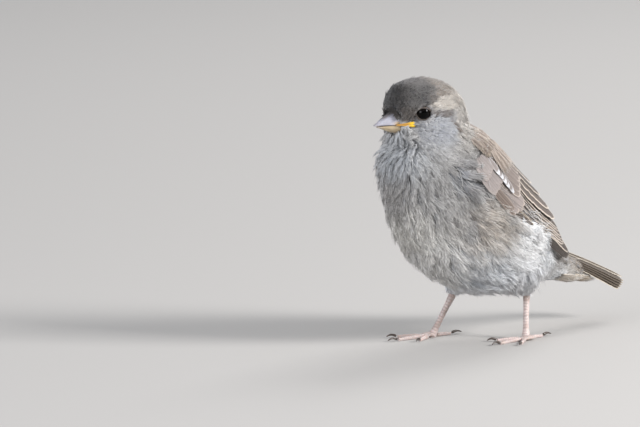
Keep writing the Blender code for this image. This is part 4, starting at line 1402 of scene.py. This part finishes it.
def vane_mesh(name, vanes, rng):
    """A mesh of vanes. Each holds its centre line, its normals, the way to its outer web, half widths of
    the inner and outer web, and its look."""
    top, under, rim = vane_grid()
    size = STATIONS * len(ACROSS)
    share = np.linspace(0.0, 1.0, STATIONS)
    cells = math.ceil(math.sqrt(len(vanes)))
    points, faces, colours, strips, patches = [], [], [], [], []
    for number, (line, normals, outward, halves, look) in enumerate(vanes):
        point = LOOKS[look][5]
        run = np.linalg.norm(np.diff(line, axis=0), axis=1).sum()
        ends = np.sqrt(np.clip(1 - (np.clip(share - point, 0, None) / (1.001 - point)) ** 2, 0.01, 1.0))
        outline = (0.45 + 0.55 * smooth(0.0, 0.4, share)) * ends
        edges = outline[:, None] * rng.normal(1.0, 0.035, (STATIONS, 2))
        edges = edges * np.where(rng.random((STATIONS, 2)) < 0.045, 0.84, 1.0)
        half = np.where(ACROSS[None] < 0, edges[:, :1] * halves[0], edges[:, 1:] * halves[1])
        across = ACROSS[None] * half
        height = SHAFT * 0.14 * MM * (1.1 - share[:, None]) - across**2 / (2 * VANE_CURVE * MM)
        upper = line[:, None] + outward[:, None] * across[..., None] + normals[:, None] * height[..., None]
        thick = (0.04 + 0.1 * (1 - np.abs(ACROSS))) * MM
        lower = upper - normals[:, None] * thick[None, :, None]
        handed = dot(np.cross(outward[3], line[4] - line[3]), normals[3]) > 0
        parts = [part if handed else part[:, ::-1] for part in (top, under, rim)]
        points.append(np.concatenate((upper.reshape(-1, 3), lower.reshape(-1, 3))))
        faces.append(np.concatenate(parts) + number * 2 * size)
        colour = vane_colours(look, share, half, run, rng).reshape(-1, 3)
        colours.append(np.concatenate((colour, colour * 0.85)))
        place = np.stack(np.broadcast_arrays(across, share[:, None] * run), -1).reshape(-1, 2)
        strips.append(np.concatenate((place, place))[np.concatenate(parts)])
        flat = np.stack(np.broadcast_arrays((ACROSS[None] + 1) / 2, share[:, None]), -1).reshape(-1, 2)
        cell = np.array((number % cells, number // cells)) / cells
        at_top = cell + (0.03 + flat * (0.42, 0.94)) / cells
        at_under = cell + (np.array((0.53, 0.03)) + flat * (0.42, 0.94)) / cells
        at_rim = cell + (0.03 + ((flat - 0.5) * 1.05 + 0.5) * (0.42, 0.94)) / cells
        patches.append(np.concatenate((at_top[parts[0]], at_under[parts[1] - size])))
        on_rim = parts[2] % size
        patches.append(np.where((parts[2] >= size)[..., None], at_rim[on_rim], at_top[on_rim]))
    maps = {"OFBake": np.concatenate(patches).reshape(-1, 2), "Vane": np.concatenate(strips).reshape(-1, 2)}
    colours = np.clip(np.concatenate(colours), 0, 1)
    return mesh_from_arrays(name, np.concatenate(points), np.concatenate(faces), colours, maps)


class SPARROW_OT_wings(bpy.types.Operator):
    """The folded wings: primaries, secondaries, tertials and coverts, each a vane of its own"""

    bl_idname = "sparrow.wings"
    bl_label = "Wings"

    def execute(self, context):
        for side, sign in SIDES.items():
            rng = np.random.default_rng(context.scene.sparrow_plumage.seed + 3)
            for panel, panel_rows in WING_ROWS.items():
                vanes = []
                for count, base, tip, last_base, last_tip, half, lifts, drop, look in panel_rows:
                    for share in np.linspace(1, 0, count):
                        ends = ends_in_row(base, tip, last_base, last_tip, share, (0.03, 0.5), rng)
                        lift = np.array(lifts) - drop * share
                        line, normals = trunk_route(*ends, lift, sign, STATIONS)
                        outward = unit(np.cross(np.gradient(line, axis=0), normals)) * sign
                        halves = (half * 1.15 * MM, half * 0.85 * MM)
                        vanes.append((line, normals, outward, halves, look))
                name = f"feathers_{side}_{panel}"
                mesh = vane_mesh(name, vanes, rng)
                new_piece(name, mesh, vane_material(), (f"wing_{side}_{panel}",))
        return {"FINISHED"}


TAIL_SPREAD = (0.7, 2.9, 3.9, 4.8, 5.6, 6.3)  # how far out each pair lies at its tip, in millimetres
TAIL_ROLL, TAIL_SLOPE = 18.0, 15.0  # degrees: how far the closed tail leans left, and slopes from its ridge


class SPARROW_OT_tail(bpy.types.Operator):
    """The closed tail: twelve feathers, the middle pair on top"""

    bl_idname = "sparrow.tail"
    bl_label = "Tail"

    def execute(self, context):
        rng = np.random.default_rng(context.scene.sparrow_plumage.seed + 4)
        low, high = (np.array(corner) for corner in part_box("tail"))
        middle = (low[1] + high[1]) / 2
        base = np.array((high[0] + 2.0 * MM, middle, high[2] + 2.5 * MM))
        tip = np.array((low[0] - 4.4 * MM, middle, low[2] + 5.0 * MM))
        along = unit(tip - base)
        above = unit(np.cross(along, (0.0, 1.0, 0.0)))
        above *= np.sign(above[2])
        vanes = []
        share = np.linspace(0.0, 1.0, STATIONS)[:, None]
        for rank in range(5, -1, -1):
            for sign in (1.0, -1.0):
                slope = math.radians(TAIL_SLOPE + 4.0 * rank + sign * TAIL_ROLL)
                down = np.array((0.0, sign * math.cos(slope), 0.0)) - above * math.sin(slope)
                facing = above * math.cos(slope) + np.array((0.0, sign * math.sin(slope), 0.0))
                spread = TAIL_SPREAD[rank] * MM
                reach = np.linalg.norm(tip - base) - 0.55 * rank * MM
                start = base + down * spread * 0.5 - facing * rank * 0.12 * MM
                end = base + along * reach + down * spread - facing * rank * 0.16 * MM
                line = start + (end - start) * share + above * 0.5 * MM * np.sin(share * math.pi)
                normals = np.broadcast_to(facing, line.shape)
                outward = np.broadcast_to(down, line.shape)
                # The middle pair takes the paler look, partly painted light on the closed tail's top.
                look = {0: "rectrix_middle_pale_and_lit", 5: "rectrix_outer"}.get(rank, "rectrix")
                inner = (1.3 if rank == 0 else 2.2) * MM
                vanes.append((line, normals, outward, (inner, 1.3 * MM), look))
        mesh = vane_mesh("feathers_tail", vanes, rng)
        new_piece("feathers_tail", mesh, vane_material(), ("tail",))
        return {"FINISHED"}


# --- Eyes ----------------------------------------------------------------------------------------

# The lid's profile, from the eyeball outwards and back underneath: distance out from the opening's edge,
# height over it, and tone from dark to pale. The tone is lowest in the fold against the eyeball and in
# the dips between crests: the lid's own dark skin and pale ring, with painted shade in its creases.
LID_PROFILE = (
    (-0.14, -0.3, 0.0),
    (-0.1, 0.02, 0.0),
    (0.0, 0.1, 0.05),
    (0.1, 0.13, 0.35),
    (0.2, 0.07, 0.15),
    (0.3, 0.12, 0.8),
    (0.4, 0.04, 0.3),
    (0.52, 0.06, 0.5),
    (0.66, -0.06, 0.2),
    (0.66, -0.5, 0.2),
    (0.2, -0.6, 0.2),
)
OPENING_LENGTH, OPENING_HEIGHT = 5.15, 4.15  # of the visible eye, in millimetres
EYE_TONES = palette(pupil="#030303", iris="#080504", lid_fold="#14110f", lid="#776c65")


def eye_axes(side):
    """The eye's own axes: forward, up and the way it looks."""
    axis = eye_axis(side)
    forward = unit(HEAD_FORWARD - HEAD_FORWARD @ axis * axis)
    return forward, unit(UP - UP @ axis * axis - (UP @ forward) * forward), axis


def bridged(name, rings, capped):
    """A mesh bridged from ring to ring of points. It is capped at its ends, or closes on its first ring."""
    bm = bmesh.new()
    loops = []
    for ring in rings:
        verts = [bm.verts.new(point) for point in ring]
        loops.append([bm.edges.new(pair) for pair in zip(verts, verts[1:] + verts[:1])])
    for loop, after in zip(loops, loops[1:] if capped else loops[1:] + loops[:1]):
        bmesh.ops.bridge_loops(bm, edges=loop + after)
    for end in (loops[0], loops[-1]) if capped else ():
        bmesh.ops.edgeloop_fill(bm, edges=end)
    bmesh.ops.recalc_face_normals(bm, faces=bm.faces)
    mesh = as_mesh(bm, name)
    mesh.shade_smooth()
    return mesh


class SPARROW_OT_eyes(bpy.types.Operator):
    """Dark glossy eyes with creased lids round them"""

    bl_idname = "sparrow.eyes"
    bl_label = "Eyes and lids"

    def execute(self, context):
        for side in SIDES:
            forward, above, axis = eye_axes(side)
            mesh = uv_ball("eyeball_" + side, 64, 40, EYE_RADIUS)
            local = vertex_array(mesh)
            iris = smooth(1.35, 1.5, np.hypot(local[:, 0], local[:, 1]) / MM) * (local[:, 2] > 0)
            colour = mix(EYE_TONES["pupil"], EYE_TONES["iris"], iris)
            move_vertices(mesh, EYES[side] + local @ np.stack((forward, above, axis)))
            face_outwards(mesh)
            mesh.shade_smooth()
            paint(mesh, "iris", colour)
            new_piece("eyeball_" + side, mesh, cornea_material(), ("eye_" + side,))
            turn = np.linspace(0, 2 * math.pi, 72, endpoint=False)
            x = OPENING_LENGTH / 2 * np.cos(turn)
            y = OPENING_HEIGHT / 2 * np.sin(turn) * (1 - 0.08 * np.abs(np.cos(turn)) ** 3)
            rim = np.sqrt((EYE_RADIUS / MM) ** 2 - x**2 - y**2)
            rings, tones = [], []
            for out, height, tone in LID_PROFILE:
                # Fine beads along the lid stand up and are painted paler, and the dips between them darker:
                # painted shade in the creases.
                bead = np.sin(turn * 23 + out * 9) * (out > 0.1)
                place = np.outer(x + out * np.cos(turn), forward) + np.outer(y + out * np.sin(turn), above)
                rings.append(EYES[side] + (place + np.outer(rim + height + 0.03 * bead, axis)) * MM)
                tones.append(tone + 0.15 * bead)
            lid = bridged("lids_" + side, rings, capped=False)
            tones = np.clip(np.array(tones).ravel(), 0, 1)
            paint(lid, "tone", mix(EYE_TONES["lid_fold"], EYE_TONES["lid"], tones))
            new_piece("lids_" + side, lid, soft_skin_material())
        return {"FINISHED"}


# --- Bill and gape -------------------------------------------------------------------------------


def refined(node, levels, swell=0.0):
    """A CAD node's form with its triangles paired and its surface smoothed."""
    bm = merged_copy(node)
    bmesh.ops.join_triangles(
        bm, faces=bm.faces, angle_face_threshold=math.radians(70), angle_shape_threshold=math.radians(80)
    )
    swell_out(bm, swell)
    made = baked(as_mesh(bm, node + "_form"), [("SUBSURF", {"levels": levels, "render_levels": levels})])
    made.shade_smooth()
    return made


# The swollen corner of a young bird's bill, from back to front: distance forward in the head's frame,
# distance out, how far each lip's middle lies from the cleft, and each lip's half height, in millimetres.
FLANGE = (
    (9.6, 6.0, 0.05, 0.1),
    (9.8, 6.1, 0.2, 0.42),
    (10.4, 6.15, 0.36, 0.62),
    (11.2, 5.95, 0.42, 0.62),
    (12.2, 5.6, 0.38, 0.46),
    (13.6, 5.1, 0.3, 0.3),
    (15.2, 4.5, 0.22, 0.2),
    (16.4, 4.0, 0.16, 0.14),
    (17.0, 3.7, 0.1, 0.05),
)


def lip_rings(sign, lip):
    """The rings of points of one lip of the flange, a soft tapering roll."""
    stops = np.array(FLANGE)
    forward, out, apart, half = blended(stops, np.linspace(0, len(stops) - 1, 40)).T[..., None]
    turn = np.linspace(0, 2 * math.pi, 20, endpoint=False)
    half = np.maximum(half, 0.02)
    fold = 1 + 0.05 * np.sin(forward * 7.0)
    across = out + half * 0.95 * fold * np.cos(turn) - 0.1 * half
    up = COMMISSURE + lip * apart + half * fold * np.sin(turn)
    return from_head(np.stack((np.broadcast_to(forward, up.shape), sign * across, up), -1))


BILL_MARKS = palette(culmen="#5f5653", edge="#b0905a", keel="#8b7b6a", gape_front="#b88a3c")


class SPARROW_OT_bill(bpy.types.Operator):
    """The horny bill and its soft yellow corners"""

    bl_idname = "sparrow.bill"
    bl_label = "Bill and gape"

    def execute(self, context):
        settings = context.scene.sparrow_plumage
        horn = {"upper": np.array(settings.upper_bill), "lower": np.array(settings.lower_bill)}
        for half, colour in horn.items():
            mesh = refined("bill_" + half, 3, 0.06)
            points = vertex_array(mesh)
            forward, left, up = head_place(points).T
            wave = ripple(points, 1.2, 31)
            colour = np.broadcast_to(colour, points.shape)
            if half == "upper":
                ridge = fall(0.5, 2.0, np.abs(left)) * smooth(-1.6, 0.2, up)
                colour = mix(colour, BILL_MARKS["culmen"], 0.85 * ridge)
                tomium = fall(-2.2, -1.2, up + 0.3 * wave) * fall(15.5, 19.0, forward)
                colour = mix(colour, BILL_MARKS["edge"], 0.9 * tomium)
                colour = mix(colour, BILL_MARKS["culmen"], 0.4 * smooth(22.0, 24.5, forward))
            else:
                colour = mix(colour, BILL_MARKS["keel"], 0.7 * smooth(2.0, 3.8, -2.8 - up))
                colour = mix(colour, horn["upper"], 0.4 * smooth(20.0, 23.0, forward))
            paint(mesh, "horn", colour * (1 + 0.05 * wave[:, None]))
            new_piece("horn_" + half, mesh, horn_material(), ("bill_" + half,))
        for side, sign in SIDES.items():
            lips = bmesh.new()
            for lip in (1.0, -1.0):
                mesh = bridged("lip", lip_rings(sign, lip), capped=True)
                lips.from_mesh(mesh)
                bpy.data.meshes.remove(mesh)
            mesh = as_mesh(lips, "flange_" + side)
            mesh.shade_smooth()
            points = vertex_array(mesh)
            front = smooth(11.4, 13.6, head_place(points)[:, 0] + 0.4 * ripple(points, 1.0, 32))
            paint(mesh, "tone", mix(np.array(settings.gape), BILL_MARKS["gape_front"], front))
            new_piece("flange_" + side, mesh, soft_skin_material(), ("gape_" + side,))
        return {"FINISHED"}


# --- Legs ----------------------------------------------------------------------------------------

# The plates on each kind of node: their spacing and height, and how far its form is swollen, in
# millimetres, and how many times it is subdivided.
SCUTES = {"tarsus": (1.15, 0.1, 0.28, 3), "toe": (0.85, 0.09, 0.06, 2)}
LEG_MARKS = palette(joint="#85736a", warm="#a08d84")


def pad_mesh(side):
    """The soft pad where a foot's toes meet under the shank."""
    low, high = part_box(f"toe_{side}_middle")
    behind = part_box(f"toe_{side}_hallux")[1].x
    mesh = uv_ball("pad_" + side, 40, 24, 1.0)
    points = vertex_array(mesh)
    points[:, 0] = (low.x + behind) / 2 + points[:, 0] * ((low.x - behind) / 2 + 1.1 * MM)
    points[:, 1] = (low.y + high.y) / 2 - 0.2 * MM * SIDES[side] + points[:, 1] * 2.15 * MM
    points[:, 2] = 0.95 * MM + points[:, 2] * (0.98 + 0.04 * ripple(points, 0.7, 44) * 0.3) * MM
    points[:, 2] = np.maximum(points[:, 2], 0.0)
    move_vertices(mesh, points)
    mesh.shade_smooth()
    return mesh


def plated(points, normals, kind):
    """Raises overlapping plates down the front of a shank or the top of a toe, and small scales behind.
    Gives the new points and where the grooves lie between plates."""
    spacing, height = SCUTES[kind][:2]
    axis = np.linalg.svd(points - points.mean(0), full_matrices=False)[2][0]
    axis *= np.sign(axis[2] if kind == "tarsus" else -axis[0]) or 1.0
    ahead = HEAD_FORWARD if kind == "tarsus" else UP
    front = smooth(-0.3, 0.4, normals @ unit(ahead - ahead @ axis * axis))
    along = (points - points.mean(0)) @ axis / (spacing * MM) + 0.1 * ripple(points, 1.0, 41)
    plate = np.sin((along - np.floor(along)) * math.pi) ** 0.6
    raised = height * (plate * front + 0.35 * ripple(points, 0.6, 42) * (1 - front) - 0.5)
    points = points + normals * (raised * MM)[:, None]
    points[:, 2] = np.maximum(points[:, 2], 0.0)
    return points, (1 - plate) * front


class SPARROW_OT_legs(bpy.types.Operator):
    """Shanks and toes covered in overlapping plates, and horny claws"""

    bl_idname = "sparrow.legs"
    bl_label = "Legs"

    def execute(self, context):
        settings = context.scene.sparrow_plumage
        flesh, (joint, warm) = np.array(settings.legs), LEG_MARKS.values()
        for side in SIDES:
            mesh = pad_mesh(side)
            flush = 0.5 + 0.3 * ripple(vertex_array(mesh), 0.8, 45)
            tone = mix(np.broadcast_to(flesh, (len(mesh.vertices), 3)), warm, flush)
            paint(mesh, "tone", np.clip(tone, 0, 1))
            new_piece("pad_" + side, mesh, scute_material())
        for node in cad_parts:
            kind = node.split("_")[0]
            if kind == "claw":
                mesh = refined(node, 2, 0.02)
                paint(mesh, "horn", np.array(settings.claws))
                new_piece(node.replace("claw", "nail"), mesh, horn_material(), (node,))
            if kind not in SCUTES:
                continue
            swell, levels = SCUTES[kind][2:]
            mesh = refined(node, levels, swell)
            points, groove = plated(vertex_array(mesh), vertex_array(mesh, "normal"), kind)
            move_vertices(mesh, points)
            colour = mix(np.broadcast_to(flesh, points.shape), joint, 0.75 * groove)
            colour = mix(colour, warm, 0.5 * smooth(-0.2, 1.0, ripple(points, 2.5, 43)))
            if kind == "tarsus":
                colour = mix(colour, joint, 0.6 * smooth(12 * MM, 16 * MM, points[:, 2]))
            paint(mesh, "tone", colour)
            name = node.replace("tarsus", "shank").replace("toe", "digit")
            new_piece(name, mesh, scute_material(), (node,))
        return {"FINISHED"}


# --- Settings ------------------------------------------------------------------------------------


def share_property(name, description, lowest):
    """A share of the natural amount, 1 for all of it."""
    limits = {"subtype": "FACTOR", "default": 1.0, "min": lowest, "max": 1.5}
    return FloatProperty(name=name, description=description, **limits)


def colour_property(name, description, code):
    """A colour that starts as a hex sRGB one."""
    rest = {"subtype": "COLOR", "size": 3, "min": 0.0, "max": 1.0, "default": tuple(linear(code))}
    return FloatVectorProperty(name=name, description=description, **rest)


class SparrowPlumage(bpy.types.PropertyGroup):
    """What a user may change about the bird"""

    density: share_property("Density", "How many contour feathers grow", 0.2)
    length: share_property("Length", "Length of the contour feathers", 0.3)
    fluff: share_property("Fluff", "How far the feathers stand off the skin", 0.1)
    upper_bill: colour_property("Upper bill", "Horn of the upper bill", "#a2a1ab")
    lower_bill: colour_property("Lower bill", "Horn of the lower bill", "#b5a385")
    gape: colour_property("Gape", "Swollen corners of the bill", "#e3b92c")
    legs: colour_property("Legs", "Skin of the shanks and toes", "#cdbdb9")
    claws: colour_property("Claws", "Horn of the claws", "#4a403b")
    seed: IntProperty(name="Seed", description="Start of the random numbers", default=7)


class SPARROW_PT_panel(bpy.types.Panel):
    """Lists the bird's settings and pieces in the sidebar"""

    bl_label = "House Sparrow"
    bl_space_type = "VIEW_3D"
    bl_region_type = "UI"
    bl_category = "Sparrow"

    def draw(self, context):
        settings = context.scene.sparrow_plumage
        for name in SparrowPlumage.__annotations__:
            self.layout.prop(settings, name)
        for step in PIECE_OPERATORS:
            self.layout.operator(step.bl_idname)


# --- Stage ---------------------------------------------------------------------------------------

CAMERA_TURN, CAMERA_TILT = math.radians(45.0), math.radians(8.0)  # to the bird's left, and downwards
CAMERA_DISTANCE = 5.0
VIEW_WIDTH = 0.237  # breadth of the view at the bird
VIEW_ASIDE, VIEW_ABOVE = -0.0585, 0.0463  # from the feet to the middle of the view
SENSOR = 36.0  # breadth of the camera's sensor in millimetres
FLOOR_RADIUS, FLOOR_CURVE, WALL_RISE, WALL_HEIGHT = 8.0, 1.0, 0.3, 3.0
PAPER, SKY, SKY_STRENGTH = "#aeaba8", "#e8edf4", 0.65
# Each lamp's direction from the bird, distance, size, power and colour.
LAMPS = {
    "key": ((-0.45, 1.0, 0.55), 1.3, 0.45, 25.0, "#fdfcfb"),
    "fill": ((1.0, 0.05, 0.2), 1.5, 0.8, 17.0, "#f6f7fb"),
    "rim": ((-1.0, -0.4, 0.9), 1.4, 0.6, 9.0, "#ffffff"),
}


def feet_middle():
    """The point on the ground midway between the two shanks' feet."""
    soles = [(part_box(f"toe_{side}_middle")[0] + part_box(f"toe_{side}_hallux")[1]) / 2 for side in SIDES]
    return np.array((sum(s.x for s in soles) / 2, 0.0, 0.0))


def add_camera():
    """The camera, a little above the bird and ahead of its left side, looking down at it."""
    toward = np.array((math.cos(CAMERA_TURN), math.sin(CAMERA_TURN), 0.0)) * math.cos(CAMERA_TILT)
    toward[2] = math.sin(CAMERA_TILT)
    right = np.array((-math.sin(CAMERA_TURN), math.cos(CAMERA_TURN), 0.0))
    above = np.cross(toward, right)
    target = feet_middle() + right * VIEW_ASIDE + above * VIEW_ABOVE
    data = bpy.data.cameras.new("camera")
    data.sensor_width = SENSOR
    data.lens = SENSOR * CAMERA_DISTANCE / VIEW_WIDTH
    camera = place_object("camera", data)
    camera.location = target + toward * CAMERA_DISTANCE
    camera.rotation_mode = "QUATERNION"
    camera.rotation_quaternion = Vector(-toward).to_track_quat("-Z", "Y")
    bpy.context.scene.camera = camera


def add_lamp(name, direction, distance, size, power, colour):
    """A square soft light that looks at the middle of the bird."""
    data = bpy.data.lights.new(name, "AREA")
    data.size = size
    data.energy = power
    data.color = linear(colour)
    lamp = place_object(name, data)
    aim = Vector(LOW + SPAN / 2)
    lamp.location = aim + Vector(unit(direction)) * distance
    lamp.rotation_euler = Vector(-unit(direction)).to_track_quat("-Z", "Y").to_euler()


def floor_mesh():
    """A floor disc that curves up into a wall all round."""
    bm = bmesh.new()
    flat = FLOOR_RADIUS - FLOOR_CURVE
    outline = ((0.0, 0.0), (flat, 0.0), (FLOOR_RADIUS, WALL_RISE), (FLOOR_RADIUS, WALL_HEIGHT))
    verts = [bm.verts.new((out, 0.0, height)) for out, height in outline]
    line = [bm.edges.new(pair) for pair in zip(verts, verts[1:])]
    turn = {"axis": (0, 0, 1), "cent": (0, 0, 0), "angle": 2 * math.pi, "steps": 96}
    bmesh.ops.spin(bm, geom=[*line, *verts], use_merge=True, **turn)
    bmesh.ops.remove_doubles(bm, verts=bm.verts, dist=1e-5)
    bmesh.ops.recalc_face_normals(bm, faces=bm.faces)
    bm.normal_update()
    if sum(face.normal.z for face in bm.faces) < 0:
        bmesh.ops.reverse_faces(bm, faces=bm.faces)
    mesh = as_mesh(bm, "floor")
    mesh.shade_smooth()
    return mesh


class SPARROW_OT_stage(bpy.types.Operator):
    """A pale floor that curves up all round, soft lights and the camera"""

    bl_idname = "sparrow.stage"
    bl_label = "Stage"

    def execute(self, context):
        mesh = floor_mesh()
        # Studio paper: matt and even.
        paper, _, _ = new_material("studio_paper_matt", Roughness=0.95, Base_Color=(*linear(PAPER), 1.0))
        mesh.materials.append(paper)
        place_object("floor", mesh)
        for name, settings in LAMPS.items():
            add_lamp(name, *settings)
        world = bpy.data.worlds.new("studio")
        world.use_nodes = True
        sky = world.node_tree.nodes["Background"]
        sky.inputs["Color"].default_value = (*linear(SKY), 1.0)
        sky.inputs["Strength"].default_value = SKY_STRENGTH
        context.scene.world = world
        context.scene.view_settings.view_transform = "Standard"
        add_camera()
        return {"FINISHED"}


PIECE_OPERATORS = (
    SPARROW_OT_skin,
    SPARROW_OT_coat,
    SPARROW_OT_wisps,
    SPARROW_OT_face_tufts,
    SPARROW_OT_soft_rows,
    SPARROW_OT_wings,
    SPARROW_OT_tail,
    SPARROW_OT_eyes,
    SPARROW_OT_bill,
    SPARROW_OT_legs,
    SPARROW_OT_stage,
)
CLASSES = (SparrowPlumage, *PIECE_OPERATORS, SPARROW_PT_panel)


def register():
    """Adds the operators, the panel and the settings."""
    for cls in CLASSES:
        bpy.utils.register_class(cls)
    bpy.types.Scene.sparrow_plumage = PointerProperty(type=SparrowPlumage)


def unregister():
    """Takes them away again."""
    del bpy.types.Scene.sparrow_plumage
    for cls in reversed(CLASSES):
        bpy.utils.unregister_class(cls)


def main():
    """Builds the bird and its stage."""
    register()
    for step in PIECE_OPERATORS:
        group, name = step.bl_idname.split(".")
        getattr(getattr(bpy.ops, group), name)()


if __name__ == "__main__":
    main()
